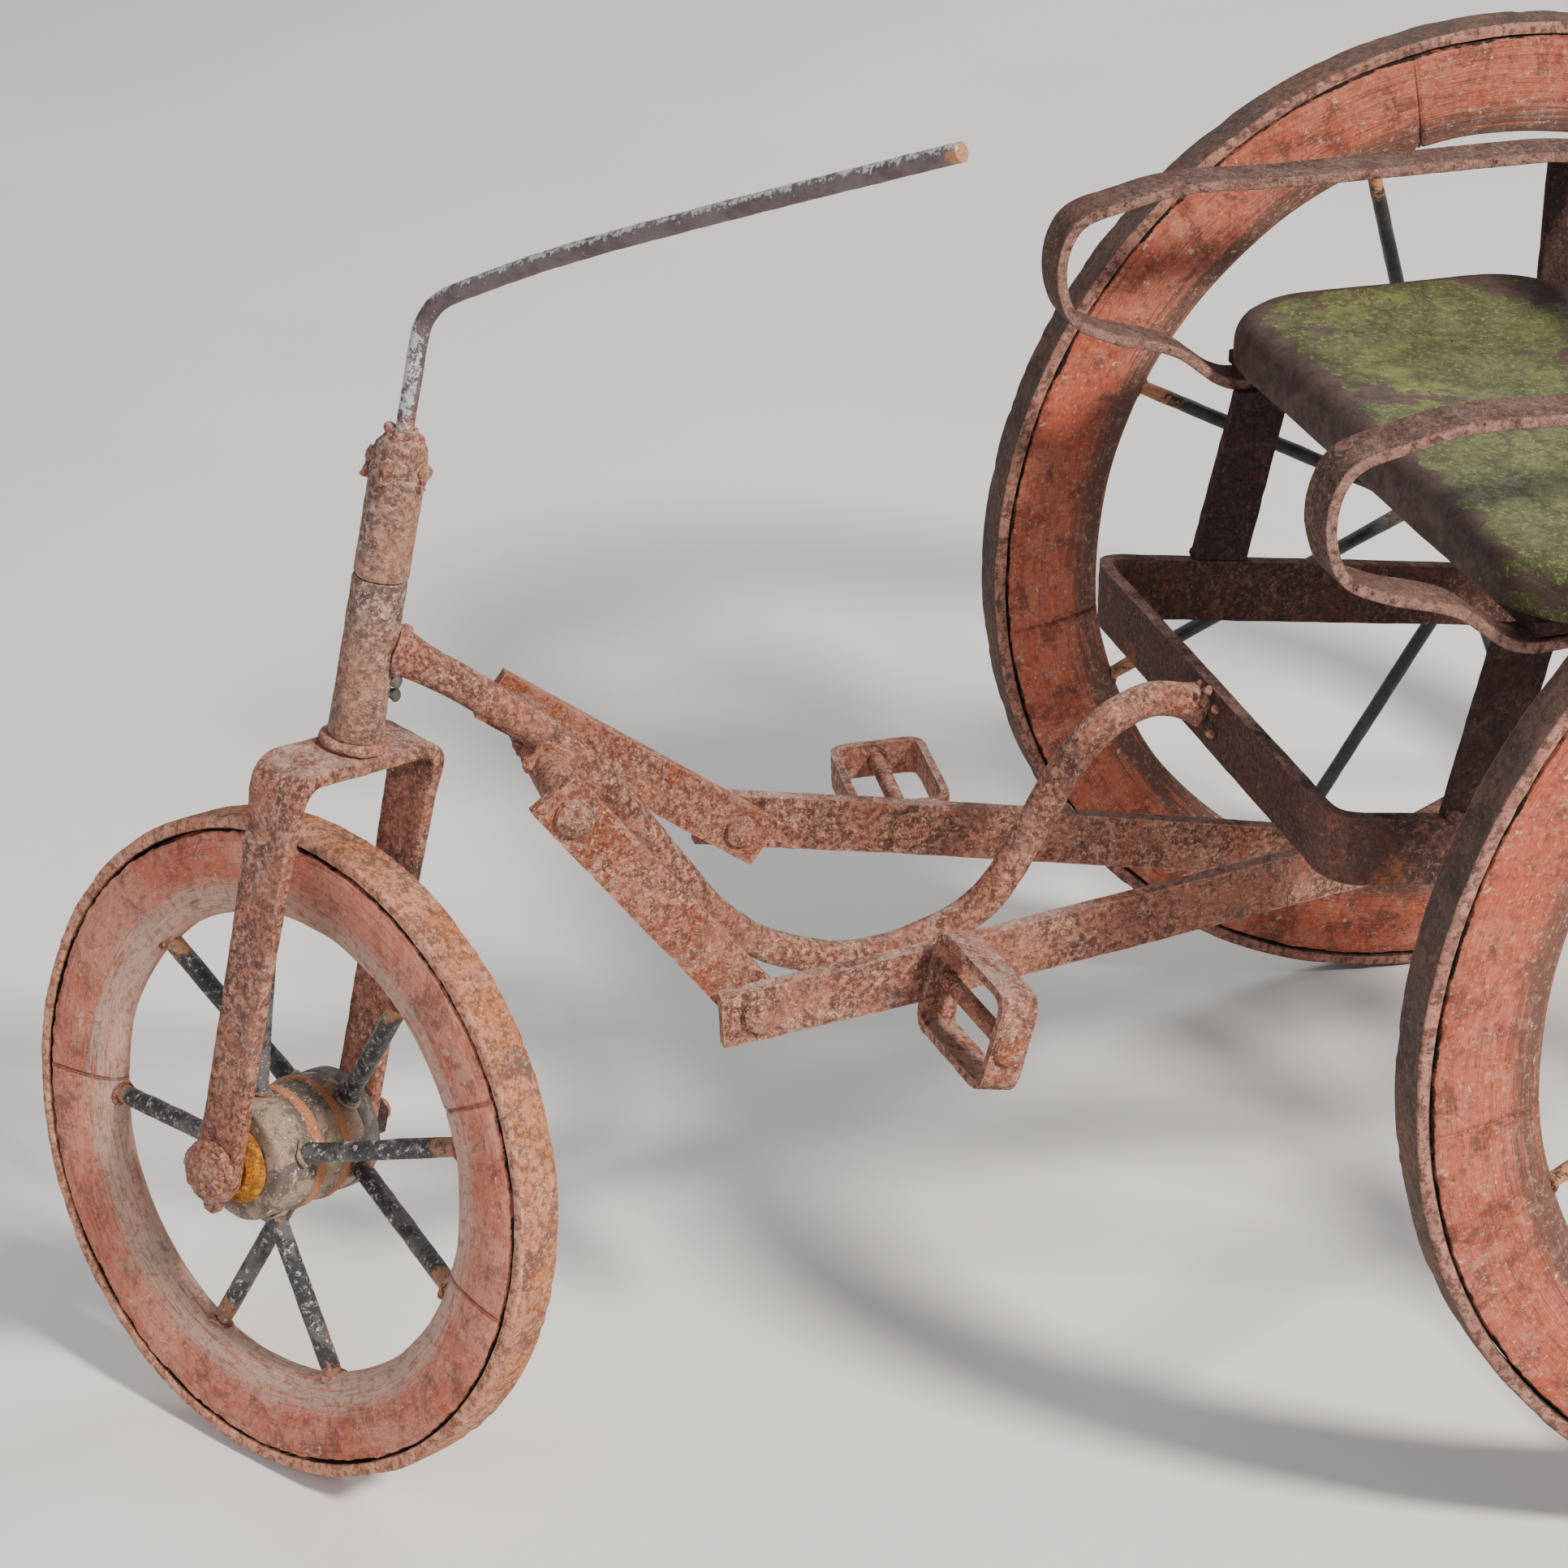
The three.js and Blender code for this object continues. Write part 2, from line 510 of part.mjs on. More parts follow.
// the treadle bar lies flat against its link in front and runs inwards to the crank pin
function barLine(side, name) {
  const foot = linkFoot(name);
  const pin = crankPin(side);
  const run = deg(BAR_RUN[name]);
  const kink = [foot[0] + BAR.kink * Math.cos(run), foot[1] + BAR.kink * Math.sin(run)];
  return { foot, kink, pin };
}

// moves a plate sideways along Y, from x0 at y0 to x1 at y1
function slant(side, y0, x0, y1, x1) {
  const lean = (side * (x1 - x0)) / (y1 - y0);
  return new THREE.Matrix4().set(1, lean, 0, side * x0 - lean * y0, 0, 1, 0, 0, 0, 0, 1, 0, 0, 0, 0, 1);
}

// the bar stays nearly parallel to its link in front, so that it clears the link all round the crank's turn
function addTreadle(side, name) {
  const { foot, kink, pin } = barLine(side, name);
  const bendY = foot[0] + BAR.bend;
  const front = slant(side, foot[0], BAR.frontX, bendY, BAR.bendX);
  const rear = slant(side, bendY, BAR.bendX, pin[0], BAR.crankX);
  const dir = unit([kink[0] - foot[0], kink[1] - foot[1]]);
  const line = rounded([[foot[0] - dir[0] * 13, foot[1] - dir[1] * 13], kink, pin], 60, 5);
  const flat = solid(sidePlate(strapOutline(line, BAR.height), -BAR.thick / 2, BAR.thick / 2))
    .add(solid(rod(12, [-BAR.thick / 2, ...pin], [BAR.thick / 2, ...pin], 28)));
  let body = flat.trimByPlane([0, -1, 0], -bendY).transform(front.elements)
    .add(flat.trimByPlane([0, 1, 0], bendY).transform(rear.elements));
  body = body.subtract(solid(rod(5.5, [-60, ...pin], [60, ...pin])));
  body = body.subtract(solid(rod(3.8, [-60, ...foot], [60, ...foot])));
  const spindle = [foot[0] + dir[0] * PEDAL.along, foot[1] + dir[1] * PEDAL.along];
  const lean = rear.elements[4];
  const normal = [Math.cos(Math.atan(lean)), -Math.sin(Math.atan(lean))];
  const base = [side * BAR.bendX + lean * (spindle[0] - bendY), ...spindle];
  const along = (d, p = base) => [p[0] + side * normal[0] * d, p[1] + side * normal[1] * d, p[2]];
  body = body.subtract(solid(rod(PEDAL.rod + GAP, along(-10), along(10))));
  place(`treadle_bar_${name}`, body, RUST);
  addTreadleRivet(side, name, foot);
  addPedal(side, name, base, along);
}

function addTreadleRivet(side, name, foot) {
  const head = [[0.01, 0], [6.4, 0], [5.8, 1.6], [3.4, 2.9], [0.01, 3.2]];
  const start = side * (BAR.frontX + BAR.thick / 2 + 0.9);
  const cap = solid(lathe(head, 20).rotateZ(-side * Math.PI / 2).translate(start, ...foot));
  const shank = solid(rod(3.5, [start + side, ...foot], [side * (BAR.frontX - BAR.thick / 2 - 0.4), ...foot]));
  place(`treadle_rivet_${name}`, cap.add(shank), RUST);
}

function addPedal(side, name, base, along) {
  const turn = name === 'left' ? PEDAL_TURN.left : PEDAL_TURN.right;
  const start = BAR.thick / 2 + PEDAL.gap;
  const half = PEDAL.height / 2 - PEDAL.thick / 2;
  const x0 = start + PEDAL.thick / 2;
  const x1 = start + PEDAL.length - PEDAL.thick / 2;
  const ring = rounded([[x0, 0], [x0, half], [x1, half], [x1, -half], [x0, -half], [x0, 0]], 6, 3);
  ring.pop();
  const band = closedBand(ring, PEDAL.thick, PEDAL.strip);
  const out = new THREE.Vector3(...along(1)).sub(new THREE.Vector3(...base)).normalize();
  const rise = new THREE.Vector3(0, 0, 1).applyAxisAngle(out, deg(turn));
  const frame = new THREE.Matrix4().makeBasis(out, rise, out.clone().cross(rise)).setPosition(...base);
  const hole = solid(rod(PEDAL.rod + GAP, [0, 0, 0], [80, 0, 0]));
  place(`pedal_${name}`, band.subtract(hole), RUST, frame);
  const rodEnd = start + PEDAL.length + GAP;
  const cap = solid(lathe([[0.01, 0], [6, 0], [5.4, 1.6], [3, 2.8], [0.01, 3]], 12).rotateZ(-Math.PI / 2)
    .translate(rodEnd, 0, 0));
  const inside = -BAR.thick / 2 - GAP;
  const foot = solid(lathe([[0.01, 0], [7, 0], [6.2, 1.5], [3.4, 2.6], [0.01, 2.8]], 12).rotateZ(Math.PI / 2)
    .translate(inside, 0, 0));
  const shaft = solid(rod(PEDAL.rod, [inside - 1, 0, 0], [rodEnd + 1, 0, 0], 16));
  place(`pedal_spindle_${name}`, shaft.add(cap).add(foot), RUST, frame);
}

const PEDAL_TURN = { left: -15, right: 88 };

function closedBand(ring, thick, width) {
  const offset = (sign) => ring.map((point, i) => {
    const before = ring[(i + ring.length - 1) % ring.length];
    const after = ring[(i + 1) % ring.length];
    const one = unit([point[0] - before[0], point[1] - before[1]]);
    const two = unit([after[0] - point[0], after[1] - point[1]]);
    const dir = unit([one[0] + two[0], one[1] + two[1]]);
    const off = (sign * thick) / 2 / Math.max(dir[0] * one[0] + dir[1] * one[1], 0.5);
    return [point[0] - dir[1] * off, point[1] + dir[0] * off];
  });
  const outer = solid(flatPlate(offset(1), -width / 2, width / 2));
  const inner = solid(flatPlate(offset(-1), -width, width));
  return outer.volume() > inner.volume() / 2 ? outer.subtract(inner) : inner;
}

addFrontWheel();
addFork();
addSteeringParts();
addFrontAxle();
addHeadAndBackbone();
addPivot();
addRearFrame();
addBearings();
addPosts();
addSeat();
addArmRail();
addCrank();
for (const [side, name] of [[1, 'left'], [-1, 'right']]) {
  addRearWheel(side, name);
  addLink(side, name);
  addTreadle(side, name);
}
addAxleNuts();

export default trike;
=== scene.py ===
import json
from math import copysign, cos, exp, hypot, pi, radians, sin, tan

import bmesh
import bpy
from mathutils import Matrix, Vector, noise

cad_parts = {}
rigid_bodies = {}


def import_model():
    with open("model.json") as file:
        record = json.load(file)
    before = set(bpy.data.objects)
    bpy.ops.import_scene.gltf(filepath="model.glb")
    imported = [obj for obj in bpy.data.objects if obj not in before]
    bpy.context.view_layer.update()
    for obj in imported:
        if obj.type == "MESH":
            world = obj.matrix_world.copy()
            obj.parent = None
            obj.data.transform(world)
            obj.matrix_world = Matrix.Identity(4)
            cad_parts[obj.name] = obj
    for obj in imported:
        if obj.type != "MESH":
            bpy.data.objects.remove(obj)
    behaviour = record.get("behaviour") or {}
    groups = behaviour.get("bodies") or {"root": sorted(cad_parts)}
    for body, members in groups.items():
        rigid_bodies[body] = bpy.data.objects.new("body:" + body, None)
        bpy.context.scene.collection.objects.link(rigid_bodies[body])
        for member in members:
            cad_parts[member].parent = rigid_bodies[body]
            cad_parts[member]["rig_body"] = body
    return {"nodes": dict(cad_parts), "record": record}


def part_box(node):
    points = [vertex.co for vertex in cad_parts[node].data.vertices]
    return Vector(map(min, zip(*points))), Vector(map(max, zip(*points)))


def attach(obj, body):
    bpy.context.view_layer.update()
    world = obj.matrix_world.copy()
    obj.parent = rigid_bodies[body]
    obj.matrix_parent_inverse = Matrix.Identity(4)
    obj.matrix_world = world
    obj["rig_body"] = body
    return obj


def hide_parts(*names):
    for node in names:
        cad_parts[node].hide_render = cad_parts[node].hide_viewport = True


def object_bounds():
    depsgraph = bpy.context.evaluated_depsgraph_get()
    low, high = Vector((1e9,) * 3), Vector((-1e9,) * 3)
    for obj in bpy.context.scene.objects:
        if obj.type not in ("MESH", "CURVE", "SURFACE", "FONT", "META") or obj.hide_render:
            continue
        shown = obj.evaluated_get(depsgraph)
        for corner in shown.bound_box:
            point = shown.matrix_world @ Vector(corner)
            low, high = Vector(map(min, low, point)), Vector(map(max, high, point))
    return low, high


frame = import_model()
cad_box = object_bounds()

MM = 0.001
JOINTS = {j["name"]: j for j in frame["record"]["behaviour"]["joints"]}
AXLE = Vector(JOINTS["crank_spin"]["pos_m"])
UP = Vector(JOINTS["steering_turn"]["axis"]).normalized()
HUB = Vector(JOINTS["front_wheel_spin"]["pos_m"])
ACROSS = Vector(JOINTS["front_wheel_spin"]["axis"]).normalized()
AHEAD = ACROSS.cross(UP)
FOOT = HUB - UP * 1.1 * MM
PIVOT = Vector(JOINTS["link_left_swing"]["pos_m"])
REAR_X = abs(JOINTS["right_wheel_spin"]["pos_m"][0])


# Wheels: lengths in millimetres, joints and turns in degrees.
BAND_THICKNESS = 5
FRONT_WIDTH = 17.3
FRONT_TYRE_RADIUS = 114.8
FRONT_RIM_RADIUS = 109.7
FRONT_RIM_FACE = 96
FRONT_RIM_CROWN = 80.5
FRONT_RIM_JOINTS = [100, 265, 305]
FRONT_SPOKE_TURNS = (-14, 35, 72, 118, 154, 190, 243, 282)
FRONT_SPOKE_RADIUS = 3.4
REAR_WIDTH = 16.8
REAR_TYRE_RADIUS = 203
REAR_RIM_RADIUS = 197.9
REAR_RIM_FACE = 176
REAR_RIM_CROWN = 158
REAR_RIM_JOINTS = [14, 102, 187, 281]
REAR_SPOKE_RADIUS = 2.85

# Steering and frame: lengths in millimetres. TILLER_SIDES counts the sides of its round section.
FORK_HALF = 31.5
FORK_CROWN = 146.5
FORK_TIP = 14
FORK_THICKNESS = 5
TILLER_RADIUS = 2.95
TILLER_SIDES = 18
ARM_WIDTH = 17
ARM_THICKNESS = 4
ARM_HEIGHT = 379
SEAT_HALF = 135
SEAT_FRONT = -142
SEAT_BACK = -4
SEAT_CORNER = 34

# How near the axis of the stem a piece of the fixed frame may end, in metres.
STEM_CLEARANCE = 6.2 * MM

# The camera was fitted to the outlines of the wheels. Its place is in millimetres, as at() takes it.
LENS = 90.07
LENS_SHIFT = -0.0133
CAMERA_PLACE = (1123.7, -675.0, 820.2)
YAW, PITCH, ROLL = (radians(a) for a in (73.2, 26.95, 0.09))

# Colours that several materials share.
CRACK_BLACK = (0.02, 0.012, 0.01)
# A rosy pale for upward faces: dust with painted top light.
ROSY_DUST_AND_TOP_LIGHT = (0.72, 0.50, 0.42)
CREAM_FLAKE = (0.78, 0.7, 0.64)
STAIN_GREY = (0.15, 0.125, 0.12)


# ---------------------------------------------------------------- materials
class Nodes:
    """A small builder for one procedural material."""

    def __init__(self, name):
        self.mat = bpy.data.materials.new(name)
        self.mat.use_nodes = True
        self.tree = self.mat.node_tree
        self.tree.nodes.clear()
        coordinates = self.new("ShaderNodeTexCoord")
        self.place = coordinates.outputs["Object"]
        self.normal = coordinates.outputs["Normal"]

    def new(self, kind, **props):
        node = self.tree.nodes.new(kind)
        for key, value in props.items():
            setattr(node, key, value)
        return node

    def put(self, socket, value):
        if isinstance(value, bpy.types.NodeSocket):
            self.tree.links.new(value, socket)
        elif value is not None:
            if isinstance(value, (tuple, list)) and len(value) == 3 and socket.type == "RGBA":
                value = (*value, 1.0)
            socket.default_value = value

    def scaled(self, x, y, z, source=None):
        node = self.new("ShaderNodeVectorMath", operation="MULTIPLY")
        self.put(node.inputs[0], source or self.place)
        node.inputs[1].default_value = (x, y, z)
        return node.outputs[0]

    def shifted(self, x, y, z):
        node = self.new("ShaderNodeVectorMath", operation="ADD")
        self.put(node.inputs[0], self.place)
        node.inputs[1].default_value = (x, y, z)
        return node.outputs[0]

    def noise(self, scale, detail=4.0, rough=0.6, vector=None, distort=0.0):
        node = self.new("ShaderNodeTexNoise")
        self.put(node.inputs["Vector"], vector or self.place)
        node.inputs["Scale"].default_value = scale
        node.inputs["Detail"].default_value = detail
        node.inputs["Roughness"].default_value = rough
        node.inputs["Distortion"].default_value = distort
        return node.outputs["Fac"]

    def math(self, op, a, b=None):
        node = self.new("ShaderNodeMath", operation=op)
        self.put(node.inputs[0], a)
        if b is not None:
            self.put(node.inputs[1], b)
        return node.outputs[0]

    def times(self, a, b):
        return self.math("MULTIPLY", a, b)

    def add(self, a, b):
        return self.math("ADD", a, b)

    def span(self, value, low, high, out_low=0.0, out_high=1.0):
        node = self.new("ShaderNodeMapRange", interpolation_type="SMOOTHSTEP")
        self.put(node.inputs["Value"], value)
        for key, number in (("From Min", low), ("From Max", high), ("To Min", out_low), ("To Max", out_high)):
            node.inputs[key].default_value = number
        return node.outputs[0]

    def mix(self, fac, a, b):
        node = self.new("ShaderNodeMix", data_type="RGBA")
        self.put(node.inputs[0], fac)
        self.put(node.inputs[6], a)
        self.put(node.inputs[7], b)
        return node.outputs[2]

    def axis(self, which, source=None):
        node = self.new("ShaderNodeSeparateXYZ")
        self.put(node.inputs[0], source or self.place)
        return node.outputs[which]

    def edges(self, radius):
        """Near 1 on sharp edges, where rust is rubbed away and edge highlights are painted."""
        soft = self.new("ShaderNodeBevel", samples=4)
        soft.inputs["Radius"].default_value = radius
        true = self.new("ShaderNodeNewGeometry").outputs["True Normal"]
        dot = self.new("ShaderNodeVectorMath", operation="DOT_PRODUCT")
        self.put(dot.inputs[0], soft.outputs[0])
        self.put(dot.inputs[1], true)
        return self.span(dot.outputs["Value"], 0.97, 0.8)

    def crack(self, mark):
        """1 inside the ragged crack where the marks fall below zero, else 0."""
        ragged = self.math("MULTIPLY", self.math("SUBTRACT", self.noise(85, 6, 0.8), 0.5), 3.4)
        inside = self.span(self.math("ADD", mark, ragged), -0.42, -0.62)
        broken = self.span(self.noise(45, 5, 0.75, self.shifted(2, 2, 6)), 0.42, 0.52, 0.3, 1.0)
        inside = self.math("MULTIPLY", inside, broken)
        return self.math("MULTIPLY", inside, self.span(mark, -0.02, -0.25))

    def attribute(self, name):
        return self.new("ShaderNodeAttribute", attribute_name=name).outputs["Fac"]

    def bump(self, height, depth):
        node = self.new("ShaderNodeBump")
        node.inputs["Strength"].default_value = 1.0
        node.inputs["Distance"].default_value = depth
        self.put(node.inputs["Height"], height)
        return node.outputs[0]

    def finish(self, color, rough, normal, metal=0.0, spec=0.4):
        shader = self.new("ShaderNodeBsdfPrincipled")
        self.put(shader.inputs["Base Color"], color)
        self.put(shader.inputs["Roughness"], rough)
        self.put(shader.inputs["Normal"], normal)
        shader.inputs["Metallic"].default_value = metal
        shader.inputs["Specular IOR Level"].default_value = spec
        out = self.new("ShaderNodeOutputMaterial")
        self.tree.links.new(shader.outputs[0], out.inputs[0])
        return self.mat


def rust(name, base, dark, bright, pale, amount=(0.47, 0.58), orange=(0.6, 0.74), specks=0.0, edge=0.6,
         dust_and_top_light=0.0, grey=0.0):
    """Rusted iron: a mottled base, dark pits, brighter patches, pale bloom, pale specks painted as glints,
    rubbed edges with painted edge highlights, and upward faces paler with dust and painted top light.
    """
    n = Nodes(name)
    broad = n.noise(42, 6, 0.7, distort=0.5)
    middle = n.noise(260, 7, 0.72)
    fine = n.noise(1100, 5, 0.8)
    color = n.mix(n.span(broad, 0.42, 0.64), base, pale)
    if grey:
        stain = n.span(n.noise(75, 7, 0.78, n.shifted(6, 3, 2), 0.4), 0.54, 0.64)
        color = n.mix(n.times(stain, grey), color, STAIN_GREY)
    blot = n.add(n.times(middle, 0.6), n.times(broad, 0.4))
    color = n.mix(n.times(n.span(blot, *amount), 0.8), color, dark)
    patch = n.noise(60, 6, 0.72, n.shifted(3.1, 1.7, 0.4), 0.6)
    color = n.mix(n.times(n.span(patch, *orange), 0.85), color, bright)
    spots = n.times(n.span(n.noise(620, 4, 0.7, n.shifted(2, 9, 3)), 0.60, 0.68),
                   n.span(n.noise(70, 4, 0.7, n.shifted(5, 5, 5)), 0.40, 0.6))
    color = n.mix(n.times(spots, 0.9), color, dark)
    grain = n.noise(430, 5, 0.72, n.shifted(4, 7, 2))
    crust = n.noise(34, 5, 0.7, n.shifted(1, 4, 9), 0.5)
    coarse = n.times(n.span(grain, 0.49, 0.56), n.span(crust, 0.4, 0.58, 0.15, 0.85))
    color = n.mix(coarse, color, dark)
    # Pale specks: painted glints on the rust.
    glint_noise = n.noise(620, 5, 0.75, n.shifted(6, 1, 8))
    glint_pale = tuple(min(0.85, c * 1.35) for c in pale)
    color = n.mix(n.times(n.span(glint_noise, 0.54, 0.6), n.span(broad, 0.4, 0.6, 0.3, 0.85)), color, glint_pale)
    # Pale edges: rubbed rust with painted edge highlights; the wear attribute adds worn strap edges and, on
    # the frame strap corners, painted sunlight.
    rubbed_and_lit_edges = n.times(n.edges(0.0011), n.span(n.noise(140, 5, 0.75, n.shifted(8, 8, 1)), 0.36, 0.6))
    rubbed_and_lit_edges = n.math("MAXIMUM", rubbed_and_lit_edges, n.times(n.attribute("wear"), n.span(middle, 0.38, 0.56)))
    color = n.mix(n.times(rubbed_and_lit_edges, edge), color, tuple(min(0.85, c * 1.45 + 0.03) for c in pale))
    if dust_and_top_light:
        # Upward faces turn rosy pale: dust with painted top light.
        upward = n.span(n.axis(2, n.normal), 0.72, 1.0)
        lying_dust_and_top_light = n.times(upward, n.span(n.noise(90, 6, 0.75, n.shifted(2, 6, 6)), 0.40, 0.60))
        color = n.mix(n.times(lying_dust_and_top_light, dust_and_top_light), color, ROSY_DUST_AND_TOP_LIGHT)
    if specks:
        flakes = n.span(n.noise(230, 4, 0.8, n.shifted(7, 2, 5)), 0.68, 0.71)
        color = n.mix(n.times(flakes, specks), color, CREAM_FLAKE)
    height = n.add(n.times(middle, 0.9), n.times(fine, 0.45))
    height = n.add(height, n.times(n.span(grain, 0.44, 0.6), -0.35))
    height = n.math("SUBTRACT", height, n.times(spots, 0.5))
    rough = n.span(middle, 0.3, 0.7, 0.9, 0.62)
    return n.finish(color, rough, n.bump(height, 0.0014), 0.0, 0.35)


def tyre(name, tread, dark, orange, side, dark_edge):
    """An iron band: rusty tread with dark worn patches, sides the colour of the rim, black in the crack."""
    n = Nodes(name)
    edge = n.attribute("wear")
    broad = n.noise(34, 6, 0.75, distort=0.5)
    middle = n.noise(210, 7, 0.75)
    fine = n.noise(900, 5, 0.8)
    color = n.mix(n.span(broad, 0.42, 0.6), tread, orange)
    deep = tuple(c * 0.45 for c in orange)
    color = n.mix(n.times(n.span(middle, 0.5, 0.62), 0.6), color, deep)
    grey = n.noise(72, 7, 0.8, n.shifted(4, 4, 9))
    color = n.mix(n.times(n.span(grey, *dark_edge), 0.8), color, dark)
    sides = n.mix(n.span(n.noise(90, 7, 0.78), 0.4, 0.6), side,
                  tuple(min(0.8, c * 1.45 + 0.03) for c in side))
    sides = n.mix(n.times(n.span(middle, 0.52, 0.62), 0.55), sides, tuple(c * 0.4 for c in side))
    color = n.mix(n.span(edge, 0.2, 0.9), color, sides)
    grain = n.noise(330, 5, 0.75, n.shifted(4, 7, 2))
    color = n.mix(n.times(n.span(grain, 0.49, 0.56), 0.8), color, deep)
    # Pale specks on the band: painted glare.
    glint_noise = n.noise(560, 5, 0.78, n.shifted(6, 1, 8))
    glare = tuple(min(0.85, c * 1.35 + 0.03) for c in tread)
    color = n.mix(n.times(n.span(glint_noise, 0.53, 0.6), 0.6), color, glare)
    # Pale edges: rubbed rust with painted edge highlights.
    rubbed_and_lit_edges = n.times(n.edges(0.0012), n.span(n.noise(110, 5, 0.8, n.shifted(3, 1, 1)), 0.4, 0.6))
    color = n.mix(n.times(rubbed_and_lit_edges, 0.5), color, (0.70, 0.50, 0.40))
    color = n.mix(n.crack(edge), color, CRACK_BLACK)
    height = n.add(middle, n.times(fine, 0.6))
    return n.finish(color, n.span(middle, 0.3, 0.7, 0.9, 0.7), n.bump(height, 0.0014), 0.0, 0.3)


def wood(name, red, worn, bare, deep, bare_mix=0.75):
    """Red-painted wood with the grain running round the wheel."""
    n = Nodes(name)
    x, y, z = n.axis(0), n.axis(1), n.axis(2)
    turn = n.math("ARCTAN2", y, x)
    reach = n.math("SQRT", n.add(n.times(x, x), n.times(y, y)))
    join = n.new("ShaderNodeCombineXYZ")
    n.put(join.inputs[0], n.times(turn, 0.15))
    n.put(join.inputs[1], reach)
    n.put(join.inputs[2], z)
    along = n.scaled(26, 640, 640, join.outputs[0])
    lines = n.noise(1.0, 5, 0.7, along, 0.3)
    hair = n.noise(1.0, 3, 0.7, n.scaled(60, 2300, 2300, join.outputs[0]))
    mark = n.attribute("wear")
    inner = n.math("MAXIMUM", mark, 0.0)
    blot = n.noise(34, 7, 0.75, distort=0.4)
    stain = n.noise(70, 7, 0.78, n.shifted(6, 2, 7), 0.5)
    color = n.mix(n.span(blot, 0.42, 0.6), red, worn)
    color = n.mix(n.times(n.span(stain, 0.5, 0.62), 0.75), color, deep)
    color = n.mix(n.times(n.span(lines, 0.54, 0.68), 0.6), color, deep)
    streak = n.span(n.add(lines, n.times(inner, 0.2)), 0.56, 0.68)
    color = n.mix(n.times(streak, n.times(inner, bare_mix)), color, bare)
    color = n.mix(n.times(n.times(n.span(hair, 0.54, 0.66), inner), 0.5), color, deep)
    dusty = n.span(n.noise(130, 7, 0.8, n.shifted(1, 5, 2)), 0.52, 0.68)
    color = n.mix(n.times(dusty, 0.35), color, (0.62, 0.40, 0.31))
    grain = n.noise(300, 6, 0.78, n.shifted(7, 7, 2))
    color = n.mix(n.times(n.span(grain, 0.52, 0.6), 0.5), color, deep)
    pale = n.times(n.span(n.noise(480, 5, 0.8, n.shifted(3, 8, 6)), 0.57, 0.63), 0.45)
    color = n.mix(pale, color, (0.72, 0.48, 0.38))
    chips = n.span(n.noise(190, 6, 0.8, n.shifted(4, 1, 6)), 0.61, 0.64)
    color = n.mix(n.times(chips, 0.7), color, (0.70, 0.52, 0.40))
    color = n.mix(n.crack(mark), color, CRACK_BLACK)
    height = n.add(n.times(lines, 1.0), n.times(hair, 0.5))
    height = n.add(height, n.times(stain, 0.6))
    return n.finish(color, n.span(lines, 0.3, 0.7, 0.62, 0.86), n.bump(height, 0.0013), 0.0, 0.35)


def chipped(name, coat, under, rusty, pale, coat_edge, rust_edge, ends=1.0, gloss=0.5, topside=0.0,
            fleck_edge=(0.6, 0.65)):
    """Old dark paint on iron: worn to rust near the ends, with pale flecks."""
    n = Nodes(name)
    broad = n.noise(70, 7, 0.76, distort=0.4)
    middle = n.noise(240, 6, 0.75)
    wear = n.times(n.attribute("wear"), ends)
    color = n.mix(n.span(broad, *coat_edge), coat, under)
    eaten = n.span(n.add(n.noise(110, 6, 0.75, n.shifted(2, 8, 1)), n.times(wear, 0.42)), *rust_edge)
    color = n.mix(eaten, color, rusty)
    spatter = n.noise(430, 6, 0.8, n.shifted(5, 3, 9))
    if topside:
        upward = n.span(n.axis(2, n.normal), 0.05, 0.8)
        spatter = n.add(spatter, n.times(upward, topside * 0.5))
    flecks = n.span(n.add(spatter, n.times(n.attribute("pale"), 0.16)), *fleck_edge)
    color = n.mix(n.times(flecks, 0.85), color, pale)
    height = n.add(n.times(eaten, -0.3), n.times(middle, 0.7))
    height = n.add(height, n.times(flecks, 0.25))
    return n.finish(color, n.add(n.times(eaten, 0.35), gloss), n.bump(height, 0.0011), 0.0, 0.45)


def seat_green():
    """Green paint with yellowish growth, worn to dark rust round the edge."""
    n = Nodes("seat_paint")
    wear = n.attribute("wear")
    broad = n.noise(17, 7, 0.75, distort=0.5)
    middle = n.noise(120, 7, 0.82)
    fine = n.noise(520, 6, 0.8)
    green = n.mix(n.span(middle, 0.4, 0.62), (0.048, 0.052, 0.018), (0.105, 0.113, 0.033))
    green = n.mix(n.times(n.span(n.noise(40, 6, 0.7, n.shifted(2, 2, 2)), 0.52, 0.64), 0.6), green,
                  (0.17, 0.19, 0.045))
    mask = n.add(n.times(broad, 0.9), n.times(middle, 0.35))
    mask = n.add(mask, n.times(wear, 0.33))
    bare = n.span(mask, 0.685, 0.72)
    color = n.mix(bare, green, n.mix(n.span(middle, 0.4, 0.6), (0.04, 0.02, 0.016), (0.075, 0.042, 0.035)))
    specks = n.span(n.noise(330, 5, 0.85, n.shifted(9, 4, 1)), 0.55, 0.6)
    color = n.mix(n.times(specks, 0.55), color, (0.05, 0.034, 0.024))
    moss = n.times(n.span(n.noise(480, 5, 0.8, n.shifted(1, 9, 3)), 0.55, 0.6), n.math("SUBTRACT", 1.0, bare))
    color = n.mix(n.times(moss, 0.5), color, (0.30, 0.34, 0.12))
    height = n.add(n.times(middle, 0.6), n.times(fine, 0.5))
    height = n.math("SUBTRACT", height, n.times(bare, 0.25))
    return n.finish(color, n.span(middle, 0.3, 0.7, 0.8, 0.55), n.bump(height, 0.0005), 0.0, 0.4)


